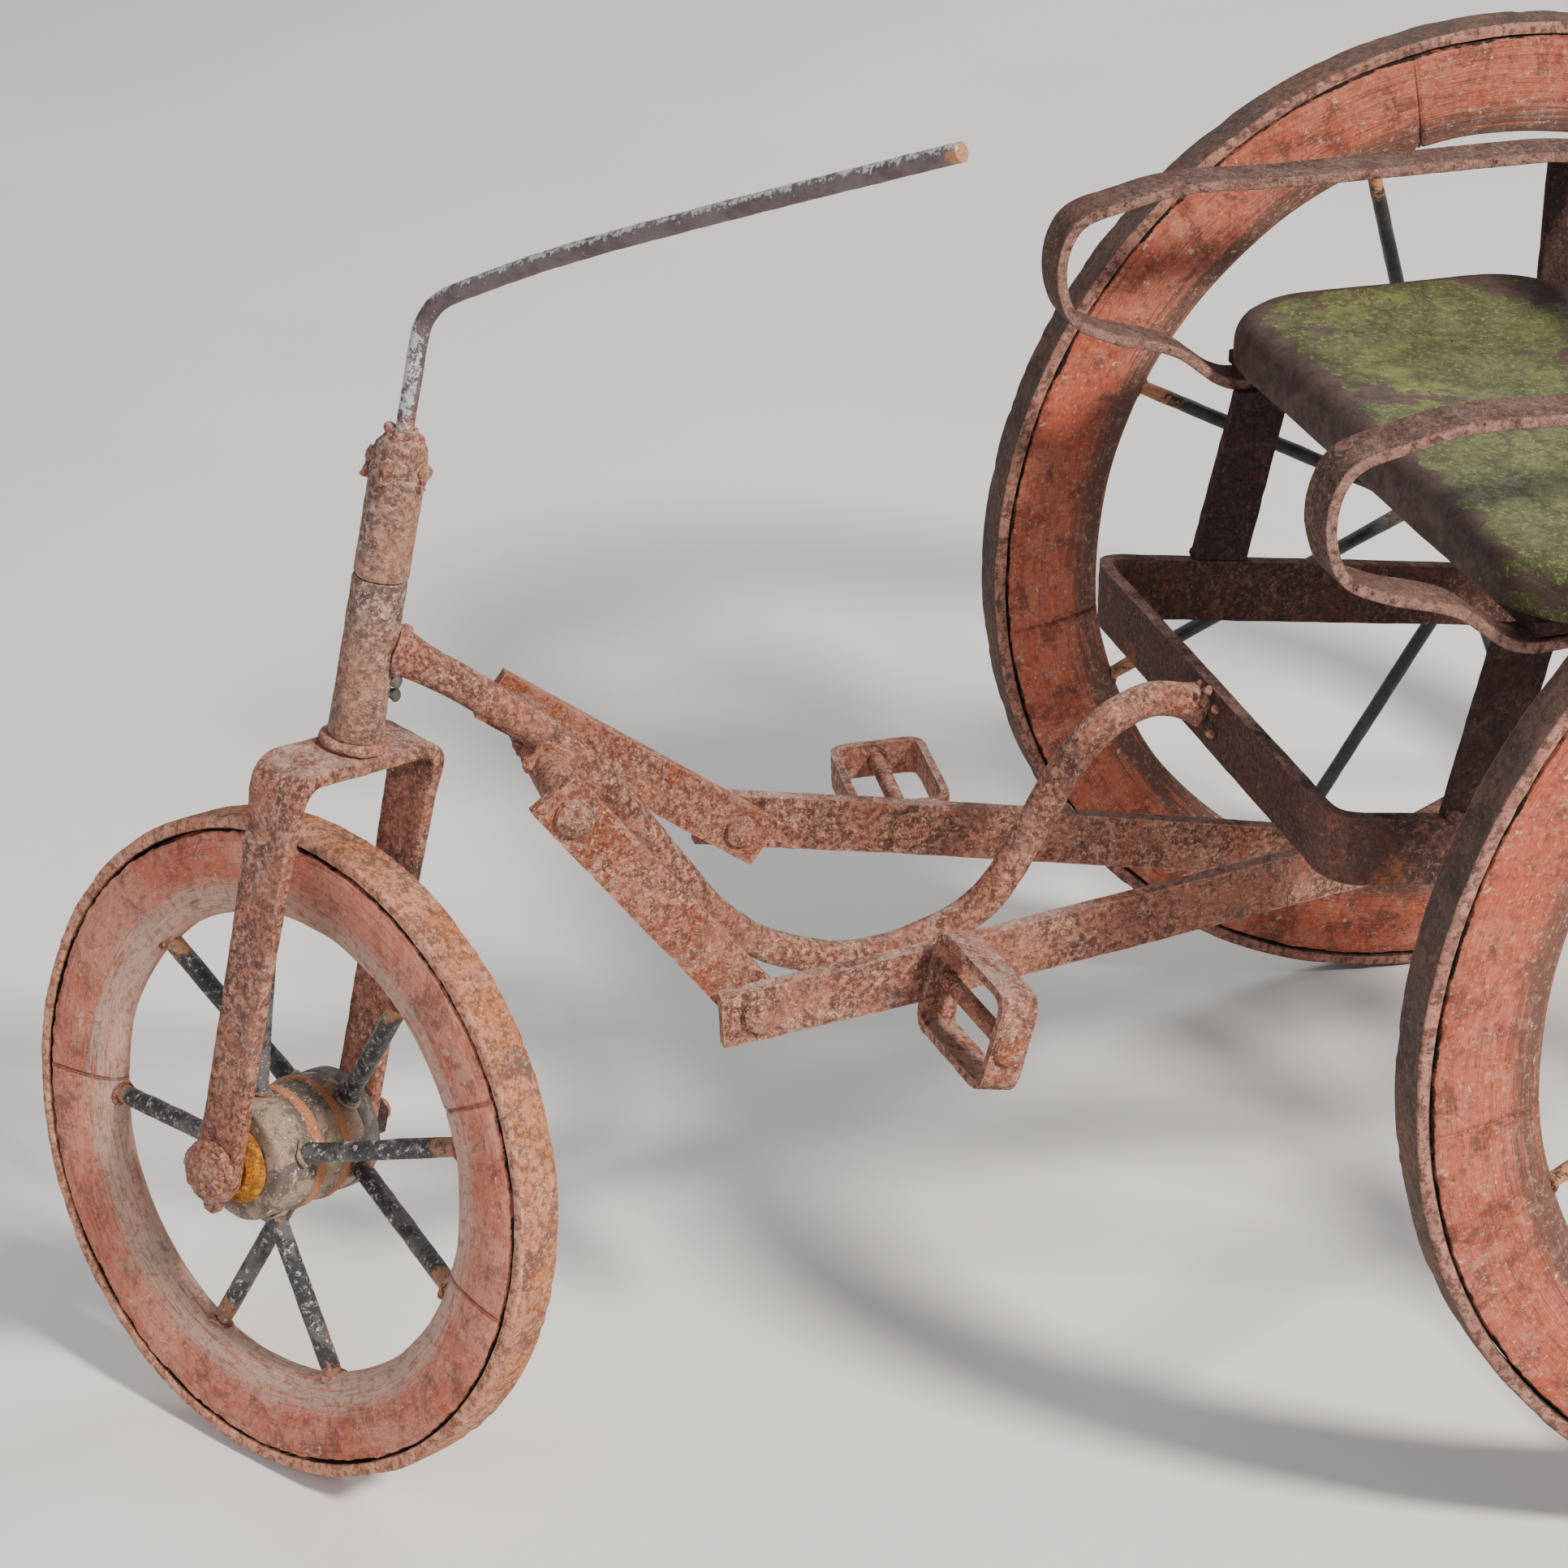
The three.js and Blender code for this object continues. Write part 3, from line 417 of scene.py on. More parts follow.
IRON = rust("mauve_rust", (0.47, 0.18, 0.118), (0.125, 0.042, 0.03), (0.42, 0.14, 0.045), (0.62, 0.335, 0.24),
            specks=0.6, dust_and_top_light=0.5, grey=0.8)
WARM_IRON = rust("warm_rust", (0.50, 0.195, 0.125), (0.16, 0.045, 0.028), (0.36, 0.10, 0.038),
                 (0.62, 0.34, 0.245), orange=(0.5, 0.57), specks=0.4, dust_and_top_light=0.4, grey=0.4)
# Dark rust of the frame strap and rear bar, darkened further with the seat's painted shade.
STRAP_SHADE_RUST = rust("strap_rust_painted_shade", (0.125, 0.04, 0.028), (0.03, 0.011, 0.009), (0.32, 0.10, 0.035),
             (0.21, 0.10, 0.08), (0.44, 0.55), (0.56, 0.7), dust_and_top_light=0.2)
# Dark brown rust darkened further with the seat's painted shade, for the posts and straps under the seat;
# small parts share it.
SEAT_SHADE_RUST = rust("rust_with_painted_seat_shade", (0.05, 0.018, 0.013), (0.014, 0.006, 0.005), (0.14, 0.045, 0.025),
            (0.11, 0.055, 0.045), edge=0.4)
ARM = rust("arm_rust", (0.13, 0.055, 0.04), (0.04, 0.015, 0.012), (0.27, 0.10, 0.045), (0.25, 0.13, 0.10),
           specks=0.3, edge=0.95, dust_and_top_light=0.1)
ORANGE = rust("orange_crust", (0.66, 0.22, 0.01), (0.22, 0.06, 0.012), (0.88, 0.40, 0.02), (0.55, 0.22, 0.06),
              orange=(0.44, 0.56), edge=0.3)
TYRE = tyre("front_tyre_rust", (0.64, 0.29, 0.185), (0.10, 0.085, 0.085), (0.58, 0.21, 0.085),
            (0.62, 0.26, 0.18), (0.515, 0.575))
# The rear tyres use a darker copy of the tyre rust: painted shade.
SHADED_REAR_TYRE = tyre("rear_tyre_rust_painted_shade", (0.12, 0.078, 0.066), (0.045, 0.037, 0.036), (0.20, 0.10, 0.066),
                 (0.36, 0.155, 0.115), (0.46, 0.6))
RIM = wood("front_wood", (0.57, 0.15, 0.09), (0.66, 0.26, 0.18), (0.58, 0.42, 0.34), (0.19, 0.065, 0.045))
REAR_RIM = wood("rear_wood", (0.46, 0.10, 0.052), (0.50, 0.15, 0.092), (0.13, 0.07, 0.052),
                (0.12, 0.04, 0.028), 0.95)
HEAD = rust("head_rust", (0.46, 0.23, 0.155), (0.13, 0.06, 0.048), (0.52, 0.22, 0.07), (0.56, 0.39, 0.32),
            specks=0.8, grey=1.0)
SPOKE = chipped("spoke_paint", (0.024, 0.025, 0.031), (0.10, 0.092, 0.09), (0.36, 0.17, 0.09),
                (0.55, 0.52, 0.49), (0.48, 0.56), (0.60, 0.70), fleck_edge=(0.53, 0.6))
REAR_SPOKE = chipped("rear_spoke_paint", (0.014, 0.014, 0.017), (0.035, 0.034, 0.038), (0.42, 0.19, 0.09),
                     (0.5, 0.5, 0.5), (0.48, 0.6), (0.70, 0.8), gloss=0.35, fleck_edge=(0.64, 0.69))
HUBMAT = chipped("hub_crust", (0.34, 0.235, 0.165), (0.12, 0.09, 0.075), (0.46, 0.18, 0.08),
                 (0.70, 0.60, 0.50), (0.46, 0.54), (0.60, 0.72), 1.0, 0.62, fleck_edge=(0.54, 0.6))
HUB_DARK = chipped("hub_dark", (0.06, 0.055, 0.055), (0.15, 0.13, 0.115), (0.30, 0.14, 0.08),
                   (0.6, 0.55, 0.5), (0.45, 0.6), (0.72, 0.82), 1.0, 0.6)
TILLER = chipped("tiller_flakes", (0.085, 0.055, 0.058), (0.13, 0.095, 0.10), (0.40, 0.18, 0.09),
                 (0.50, 0.51, 0.53), (0.42, 0.55), (0.76, 0.86), topside=0.3)
SEAT = seat_green()


# ---------------------------------------------------------------- shapes
def roughen(mesh, depth, scale, seed=0.0):
    """Pushes the surface in and out a little, as worn and pitted metal is."""
    mesh.update()
    moves = []
    for vertex in mesh.vertices:
        p = vertex.co * scale + Vector((seed, seed * 0.7, -seed))
        moves.append(vertex.normal * (noise.noise(p) * 0.7 + noise.noise(p * 2.7) * 0.3) * depth)
    for vertex, move in zip(mesh.vertices, moves):
        vertex.co += move


def piece(name, verts, faces, mat, body, nodes=(), wear=None, matrix=None, rough=None, sharp=40,
          pale=None):
    """Adds one visible piece that rides on a body and stands for the named CAD nodes."""
    mesh = bpy.data.meshes.new(name)
    mesh.from_pydata([tuple(v) for v in verts], [], faces)
    bm = bmesh.new()
    bm.from_mesh(mesh)
    bmesh.ops.recalc_face_normals(bm, faces=bm.faces)
    bm.to_mesh(mesh)
    bm.free()
    layer = mesh.attributes.new("wear", "FLOAT", "POINT")
    layer.data.foreach_set("value", wear if wear is not None else [0.0] * len(mesh.vertices))
    if pale:
        mesh.attributes.new("pale", "FLOAT", "POINT").data.foreach_set("value", pale)
    if rough:
        roughen(mesh, *rough)
    mesh.polygons.foreach_set("use_smooth", [True] * len(mesh.polygons))
    mesh.set_sharp_from_angle(angle=radians(sharp))
    mesh.materials.append(mat)
    obj = bpy.data.objects.new(name, mesh)
    bpy.context.scene.collection.objects.link(obj)
    if matrix is not None:
        obj.matrix_world = matrix
    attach(obj, body)
    if nodes:
        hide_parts(*nodes)
    return obj


def smooth_path(points, step):
    """Even points on a smooth curve through the given ones."""
    points = [Vector(p) for p in points]
    ends = [points[0] * 2 - points[1]] + points + [points[-1] * 2 - points[-2]]
    dense = []
    for i in range(1, len(ends) - 2):
        a, b, c, d = ends[i - 1:i + 3]
        for k in range(12):
            t = k / 12
            dense.append(0.5 * (2 * b + (c - a) * t + (2 * a - 5 * b + 4 * c - d) * t * t
                                + (3 * b - a - 3 * c + d) * t ** 3))
    dense.append(points[-1])
    return even(dense, step)


def even(dense, step):
    """Points at equal distances along a dense line."""
    lengths = [0.0]
    for a, b in zip(dense, dense[1:]):
        lengths.append(lengths[-1] + (b - a).length)
    count = max(2, round(lengths[-1] / step))
    out, j = [], 0
    for k in range(count + 1):
        target = lengths[-1] * k / count
        while j < len(dense) - 2 and lengths[j + 1] < target:
            j += 1
        gap = lengths[j + 1] - lengths[j] or 1.0
        out.append(dense[j].lerp(dense[j + 1], min(1.0, (target - lengths[j]) / gap)))
    return out


def fillet(points, radius, pieces=6):
    """Rounds the corners of a line of points."""
    points = [Vector(p) for p in points]
    out = [points[0]]
    for a, b, c in zip(points, points[1:], points[2:]):
        into, away = (b - a).normalized(), (c - b).normalized()
        half = into.angle(away) / 2
        cut = min(radius * tan(half), (b - a).length * 0.49, (c - b).length * 0.49)
        start, end = b - into * cut, b + away * cut
        for k in range(pieces + 1):
            t = k / pieces
            out.append(start.lerp(b, t).lerp(b.lerp(end, t), t))
    out.append(points[-1])
    return out


def tangents(path):
    return [(path[min(i + 1, len(path) - 1)] - path[max(i - 1, 0)]).normalized() for i in range(len(path))]


def skin(rings, closed_ends=True):
    """Faces that join rings of equal length, with flat ends."""
    verts = [v for ring in rings for v in ring]
    size = len(rings[0])
    faces = []
    for i in range(len(rings) - 1):
        for k in range(size):
            a, b = i * size + k, i * size + (k + 1) % size
            faces.append((a, b, b + size, a + size))
    if closed_ends:
        faces.append(tuple(range(size))[::-1])
        faces.append(tuple(range((len(rings) - 1) * size, len(rings) * size)))
    return verts, faces


def capped(rings, path, dirs, shrink, beyond):
    """Adds a smaller ring just beyond each end, so that the ends are softened."""
    caps = []
    for end, ring, out in ((path[0], rings[0], -dirs[0]), (path[-1], rings[-1], dirs[-1])):
        caps.append([end + (v - end) * shrink + out * beyond * MM for v in ring])
    return [caps[0]] + rings + [caps[1]]


def rod(path, radius, sides=16, tip=0.35):
    """Rings of a round bar along a path, with softened ends."""
    dirs = tangents(path)
    side = dirs[0].orthogonal().normalized()
    rings = []
    for i, (p, d) in enumerate(zip(path, dirs)):
        side = (side - d * side.dot(d)).normalized()
        other = d.cross(side)
        r = radius(i / (len(path) - 1)) if callable(radius) else radius
        rings.append([p + (side * cos(a) + other * sin(a)) * r
                      for a in (2 * pi * k / sides for k in range(sides))])
    return capped(rings, path, dirs, 1 - tip, 0.4)


def strap_rings(path, across, width, thick, edge=0.16):
    """Rings of a flat bar. across holds the bar's width direction at each point."""
    dirs = tangents(path)
    rings = []
    for i, (p, d) in enumerate(zip(path, dirs)):
        w = across[i] if isinstance(across, list) else across
        w = (w - d * w.dot(d)).normalized()
        t = d.cross(w).normalized()
        half = (width(i / (len(path) - 1)) if callable(width) else width) / 2
        h = thick / 2
        e = min(edge * thick, half * 0.6)
        outline = [(half, -h + e), (half, h - e), (half - e * 0.35, h - e * 0.3), (half - e, h)]
        steps = 5
        outline += [(half - e - (2 * half - 2 * e) * k / steps, h) for k in range(1, steps)]
        outline += [(-half + e, h), (-half + e * 0.35, h - e * 0.3), (-half, h - e), (-half, -h + e),
                    (-half + e * 0.35, -h + e * 0.3), (-half + e, -h)]
        outline += [(-half + e + (2 * half - 2 * e) * k / steps, -h) for k in range(1, steps)]
        outline += [(half - e, -h), (half - e * 0.35, -h + e * 0.3)]
        rings.append([p + w * a + t * b for a, b in outline])
    return capped(rings, path, dirs, 0.94, 0.5)


def strap_marks(count):
    """1 on the narrow edges of every ring of a flat bar, and 0 on its faces."""
    ring = [1.0] * 2 + [0.6, 0.0] + [0.0] * 4 + [0.0, 0.6] + [1.0] * 2 + [0.6, 0.0] + [0.0] * 4 + [0.0, 0.6]
    return ring * count


def turned_faces(count, size, closed=True):
    """Faces between neighbouring turns of a profile, all the way round."""
    faces = []
    for i in range(count):
        j = (i + 1) % count
        for k in range(size if closed else size - 1):
            m = (k + 1) % size
            faces.append((i * size + k, j * size + k, j * size + m, i * size + m))
    return faces


def lathe(profile, segments=64, closed=True):
    """Rings round local Z of a profile of (radius, height) pairs, as verts and faces."""
    turns = [2 * pi * k / segments for k in range(segments)]
    verts = []
    size, count = len(profile), len(turns)
    for a in turns:
        verts += [Vector((r * cos(a), r * sin(a), z)) for r, z in profile]
    faces = turned_faces(count, size, closed)
    if not closed:
        faces.append(tuple(i * size for i in range(count))[::-1])
        faces.append(tuple(i * size + size - 1 for i in range(count)))
    return verts, faces


def scale(profile):
    return [(r * MM, z * MM) for r, z in profile]


def basis(x, y, z, origin):
    matrix = Matrix((x, y, z)).transposed().to_4x4()
    matrix.translation = origin
    return matrix


def facing(direction, origin):
    z = Vector(direction).normalized()
    x = z.orthogonal().normalized()
    return basis(x, z.cross(x), z, origin)


def worn(node, mat, bevel=0.6, depth=0.0, grid=0.0, mark=None):
    """A CAD piece with softened, bevelled and slightly uneven faces. mark gives the wear at a point; on the
    frame strap that is orange rust with painted sunlight.
    """
    source = frame["nodes"][node]
    bm = bmesh.new()
    bm.from_mesh(source.data)
    bmesh.ops.remove_doubles(bm, verts=bm.verts, dist=2e-6)
    bmesh.ops.dissolve_limit(bm, angle_limit=radians(0.6), verts=bm.verts, edges=bm.edges)
    edges = [e for e in bm.edges if len(e.link_faces) == 2 and e.calc_face_angle(0) > radians(28)]
    bmesh.ops.bevel(bm, geom=edges, offset=bevel * MM, segments=2, profile=0.6, affect="EDGES",
                    clamp_overlap=True)
    bmesh.ops.triangulate(bm, faces=bm.faces)
    if grid:
        for _ in range(5):
            long = [e for e in bm.edges if e.calc_length() > grid * MM]
            if not long:
                break
            bmesh.ops.subdivide_edges(bm, edges=long, cuts=1)
            bmesh.ops.triangulate(bm, faces=bm.faces)
    verts = [v.co.copy() for v in bm.verts]
    bm.verts.index_update()
    faces = [tuple(v.index for v in f.verts) for f in bm.faces]
    bm.free()
    body = source["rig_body"]
    rough = (depth * MM, 260, len(node)) if depth else None
    wear = [mark(v) for v in verts] if mark else None
    return piece(node + "_worn", verts, faces, mat, body, [node], wear=wear, rough=rough, sharp=30)


def rivet(name, at, direction, radius, height, body, mat=None, seed=1.0):
    """A hammered rivet head."""
    profile = [(radius * cos(t), height * sin(t)) for t in (pi / 2 * k / 6 for k in range(6))]
    profile = [(radius, -0.5)] + profile + [(radius * 0.08, height)]
    verts, faces = lathe(scale(profile), 28, closed=False)
    return piece(name, verts, faces, mat or IRON, body, matrix=facing(direction, at),
                 rough=(0.5 * MM, 330, seed), sharp=70)


def bead(name, points, radius, body, seed=1.0, mat=None, lumps=0.9):
    """A weld bead along a line."""
    path = smooth_path(points, 1.2 * MM)
    rings = rod(path, lambda t: radius * MM * (0.75 + 0.35 * sin(t * len(path) * 0.9)), 12, 0.6)
    verts, faces = skin(rings)
    return piece(name, verts, faces, mat or IRON, body, rough=(lumps * MM, 300, seed), sharp=80)


def ring_points(centre, axis, radius, count=16):
    axis = Vector(axis).normalized()
    x = axis.orthogonal().normalized()
    y = axis.cross(x)
    return [centre + (x * cos(a) + y * sin(a)) * radius * MM
            for a in (radians(360 * k / count) for k in range(count + 1))]


# ---------------------------------------------------------------- wheels
def turns_with(joints, segments):
    """Even turns with extra ones on both sides of each joint."""
    out = {round(2 * pi * k / segments, 6): 0.0 for k in range(segments)}
    for joint in joints:
        for shift, deep in ((-0.011, 0.0), (-0.003, 1.0), (0.003, 1.0), (0.011, 0.0)):
            out[round((radians(joint) + shift) % (2 * pi), 6)] = deep
    keys = sorted(out)
    return keys, [out[k] for k in keys]


def rim_mesh(radius, width, face, crown, segments, joints, seed):
    """The wooden rim: flat sides, rounded inside, a dry jagged crack under the tyre."""
    half = width / 2 - 0.15
    turns, cracks = turns_with(joints, segments)
    verts, wear = [], []
    for turn, crack in zip(turns, cracks):
        c, s = cos(turn), sin(turn)
        sway = [noise.noise(Vector((c * 3.2, s * 3.2, seed + k * 4))) for k in range(3)]
        jag = noise.noise(Vector((c * 24, s * 24, seed))) * 0.9
        jag += noise.noise(Vector((c * 70, s * 70, seed))) * 0.6
        split = max(0.35, 1.0 + 1.0 * sway[0] + jag)
        inner = crown + 0.8 * sway[1]
        ring = []
        for sign in (-1, 1):
            points = [(radius - 0.3, half - 3.6), (radius - 0.2 - split * 0.6, half - 1.2),
                      (radius - 0.4 - split, half - 0.1), (radius - 3.5 - split * 0.5, half + 0.05),
                      ((radius + face) / 2, half + 0.15), (face, half - 0.3)]
            for k in range(1, 9):
                a = pi / 2 * k / 8
                r = face - (face - inner) * sin(a)
                points.append((r, (half - 0.9) * cos(a) ** 0.9 if k < 8 else 0.0))
            layer = [(r, copysign(z, sign), k) for k, (r, z) in enumerate(points)]
            ring += layer[:-1] if sign < 0 else layer[::-1]
        for r, z, k in ring:
            dip = crack * (1.1 if k > 2 else 0.3)
            grain = 0.35 * noise.noise(Vector((turn * 7, r * 0.9, z * 0.9 + seed)))
            z -= copysign(dip * 0.7, z) if abs(z) > half * 0.6 else 0
            reach = (r + dip * (k > 7) + grain * (k > 2)) * MM
            verts.append(Vector((reach * c, reach * s, z * MM)))
            wear.append(-1.0 if k < 2 else min(1.0, max(0.0, (k - 4.5) / 3)))
    return verts, turned_faces(len(turns), len(ring)), wear


def tyre_mesh(radius, width, thick, segments, seed):
    """The iron band round a wheel, with chipped edges. wear marks its sides."""
    half = width / 2
    profile = [(radius - thick, -half + 0.9), (radius - thick + 0.6, -half + 0.1),
               (radius - thick / 2, -half), (radius - 1.2, -half), (radius - 0.4, -half + 0.4),
               (radius, -half + 1.4), (radius, -half / 3), (radius, half / 3), (radius, half - 1.4),
               (radius - 0.4, half - 0.4), (radius - 1.2, half), (radius - thick / 2, half),
               (radius - thick + 0.6, half - 0.1), (radius - thick, half - 0.9)]
    verts, faces = lathe(scale(profile), segments)
    marks = []
    for i, v in enumerate(verts):
        k = i % len(profile)
        p = v * 60 + Vector((seed, 0, 0))
        chip = noise.noise(p) * 0.5 + noise.noise(p * 3.7) * 0.35 + noise.noise(p * 9) * 0.2
        out = Vector((v.x, v.y, 0)).normalized()
        if k in (4, 5, 8, 9):
            v += out * min(0.0, chip - 0.1) * 1.3 * MM
        elif k in (6, 7):
            v += out * min(0.0, chip) * 0.4 * MM
        elif k in (1, 12):
            v -= out * chip * 0.6 * MM
        v.z += copysign(1, v.z) * min(0.15, chip) * 0.5 * MM
        marks.append(-1.0 if k in (0, 13) else 0.0 if 5 <= k <= 8 else 1.0)
    return verts, faces, marks


def spoke_rings(start, end, radius):
    """A rod that swells at the hub and thins where it enters the rim."""

    def thickness(t):
        return radius * MM * (1.0 + 0.16 * exp(-(t * 9) ** 2) - 0.1 * max(0, t - 0.9) * 10)

    return rod(even([start, end], 5 * MM), thickness, 14)


def spoke_wear(count, sides):
    out = []
    for i in range(count):
        t = i / (count - 1)
        out += [max(exp(-((1 - t) * 6) ** 2), 0.6 * exp(-(t * 8) ** 2))] * sides
    return out


def subdivided(profile, step, whole=round):
    """A closed profile with extra points about every step mm."""
    dense = []
    for (r0, z0), (r1, z1) in zip(profile, profile[1:] + profile[:1]):
        steps = max(1, whole(hypot(r1 - r0, z1 - z0) / step))
        dense += [(r0 + (r1 - r0) * k / steps, z0 + (z1 - z0) * k / steps) for k in range(steps)]
    return dense


def hub_drum(profile):
    """A cast drum, fine enough for low lumps."""
    return lathe(scale(subdivided(profile, 1.6)), 96)


def spokes(prefix, turns, offsets, hub_reach, start, end, middle, radius, body, matrix, socket, paint,
           nodes=()):
    """Rods from the hub to the middle of the rim, each with a rusty lump at both ends."""
    for i, turn in enumerate(turns):
        out = Vector((cos(turn), sin(turn), 0))
        tilt = offsets[i % 2] / (middle - start)

        def at_reach(r):
            return out * r * MM + Vector((0, 0, tilt * (middle - r) * MM))

        rings = spoke_rings(at_reach(start), at_reach(end), radius)
        verts, faces = skin(rings)
        piece(f"{prefix}_{i + 1}", verts, faces, paint, body, nodes[i:i + 1], wear=spoke_wear(len(rings), 14),
              matrix=matrix, rough=(0.3 * MM, 260, i))
        lean = (at_reach(end) - at_reach(start)).normalized()
        for name, reach, wide, mat in (("weld", hub_reach, radius + 0.6, HUBMAT),
                                       ("socket", socket, radius + 0.5, WARM_IRON)):
            world = [matrix @ p for p in ring_points(at_reach(reach), lean, wide, count=12)]
            bead(f"{prefix}_{name}_{i + 1}", world, 1.15, body, i, mat, 0.8)


def front_wheel():
    matrix = basis(UP, AHEAD, ACROSS, HUB)
    verts, faces, marks = tyre_mesh(FRONT_TYRE_RADIUS, FRONT_WIDTH, BAND_THICKNESS, 280, 3)
    piece("front_tyre_band", verts, faces, TYRE, "front_wheel", ["front_tyre"], wear=marks, matrix=matrix,
          sharp=50)
    verts, faces, wear = rim_mesh(FRONT_RIM_RADIUS, FRONT_WIDTH, FRONT_RIM_FACE, FRONT_RIM_CROWN, 360,
                                  FRONT_RIM_JOINTS, 5)
    piece("front_wood_rim", verts, faces, RIM, "front_wheel", ["front_rim"], wear=wear, matrix=matrix,
          sharp=60)
    drum = [(5.3, -23), (19.4, -23), (20.4, -22.3), (20.6, -21), (20.6, -9.4), (21.3, -8.9), (21.6, -8),
            (21.6, -6.4), (21.2, -5.5), (20.7, -5), (20.6, 2.6), (21.3, 3.2), (21.6, 4), (21.6, 6),
            (21.2, 6.9), (20.6, 7.4), (20.6, 21), (20.3, 22.3), (19.4, 23), (5.3, 23)]
    verts, faces = hub_drum(drum)
    wear = [0.75 if any(lo < v.z / MM < hi for lo, hi in ((-9, -5.2), (2.8, 7.2))) else 0.0 for v in verts]
    piece("front_hub_drum", verts, faces, HUBMAT, "front_wheel", ["front_hub"], wear, matrix,
          (0.35 * MM, 190, 2), 50)
    back = [(20.5, -23.2), (20.9, -22.4), (21, -19), (20.9, -16.5), (20.5, -16), (20.2, -18)]
    verts, faces = hub_drum(back)
    piece("front_hub_band", verts, faces, HUB_DARK, "front_wheel", (), None, matrix,
          (0.3 * MM, 160, 5), 50)
    turns = [radians(90 - turn) for turn in FRONT_SPOKE_TURNS]
    spokes("front_rod", turns, (13, -17), 20.8, 13, 84, FRONT_RIM_CROWN, FRONT_SPOKE_RADIUS, "front_wheel",
           matrix, 81.2, SPOKE, [f"front_spoke_{i + 1}" for i in range(8)])
    a = radians(62)
    seat_at = matrix @ (Vector((cos(a), sin(a), 0)) * 114.4 * MM)
    rivet("front_tyre_rivet", seat_at, matrix.to_3x3() @ Vector((cos(a), sin(a), 0)), 4.6, 0.5,
          "front_wheel", WARM_IRON, 2)


def rear_wheel(side, name, body):
    origin = Vector((side * REAR_X, AXLE.y, AXLE.z))
    matrix = basis(Vector((0, 1, 0)), Vector((0, 0, 1)), Vector((1, 0, 0)), origin)
    verts, faces, marks = tyre_mesh(REAR_TYRE_RADIUS, REAR_WIDTH, BAND_THICKNESS, 420, 11 + side)
    piece(f"rear_tyre_band_{name}", verts, faces, SHADED_REAR_TYRE, body, [f"rear_tyre_{name}"], wear=marks,
          matrix=matrix, sharp=50)
    verts, faces, wear = rim_mesh(REAR_RIM_RADIUS, REAR_WIDTH, REAR_RIM_FACE, REAR_RIM_CROWN, 540,
                                  REAR_RIM_JOINTS, 20 + side * 6)
    piece(f"rear_wood_rim_{name}", verts, faces, REAR_RIM, body, [f"rear_rim_{name}"], wear=wear,
          matrix=matrix, sharp=60)
    drum = [(6.3, -28), (14.6, -28), (16.4, -27.2), (17, -25.8), (17, -16), (15.6, -14.4), (14, -13),
            (13.8, 0), (14, 13), (15.6, 14.4), (17, 16), (17, 25.8), (16.4, 27.2), (14.6, 28), (6.3, 28)]
    verts, faces = hub_drum(drum)
    piece(f"rear_hub_drum_{name}", verts, faces, HUB_DARK, body, [f"rear_hub_spokes_{name}"],
          None, matrix, (0.3 * MM, 160, 4), 50)
    turns = [radians(180 - 26 - 45 * i) for i in range(8)]
    spokes(f"rear_rod_{name}", turns, (20, -20), 17.4, 12.5, 161, REAR_RIM_CROWN, REAR_SPOKE_RADIUS, body,
           matrix, 158.4, REAR_SPOKE)


# ---------------------------------------------------------------- steering
def steer(x, y, z):
    """A point given ahead, across and up from the foot of the steering axis, in mm."""
    return FOOT + (AHEAD * x + ACROSS * y + UP * z) * MM


def fork():
    corners = [(-FORK_HALF, -FORK_TIP, 0), (-FORK_HALF, FORK_CROWN, 0), (FORK_HALF, FORK_CROWN, 0),
               (FORK_HALF, -FORK_TIP, 0)]
    line = fillet(corners, 9, 8)
    path = even([steer(0, p.x, p.y) for p in line], 2.4 * MM)
    tall = FORK_TIP + FORK_CROWN

    def width(t):
        total = tall * 2 + 2 * FORK_HALF - 8
        down = min(t, 1 - t) * total - FORK_TIP
        tip = max(0.12, min(1.0, (down + FORK_TIP) / 12)) ** 0.6
        spread = 17.2 + 2.4 * min(1, max(0, (down - 80) / 50)) + 3 * min(1, max(0, (down - 128) / 14))
        return spread * tip * MM

    rings = strap_rings(path, AHEAD, width, FORK_THICKNESS * MM)
    verts, faces = skin(rings)
    piece("fork_blades", verts, faces, IRON, "steering", ["fork"], rough=(0.3 * MM, 200, 4), sharp=40)


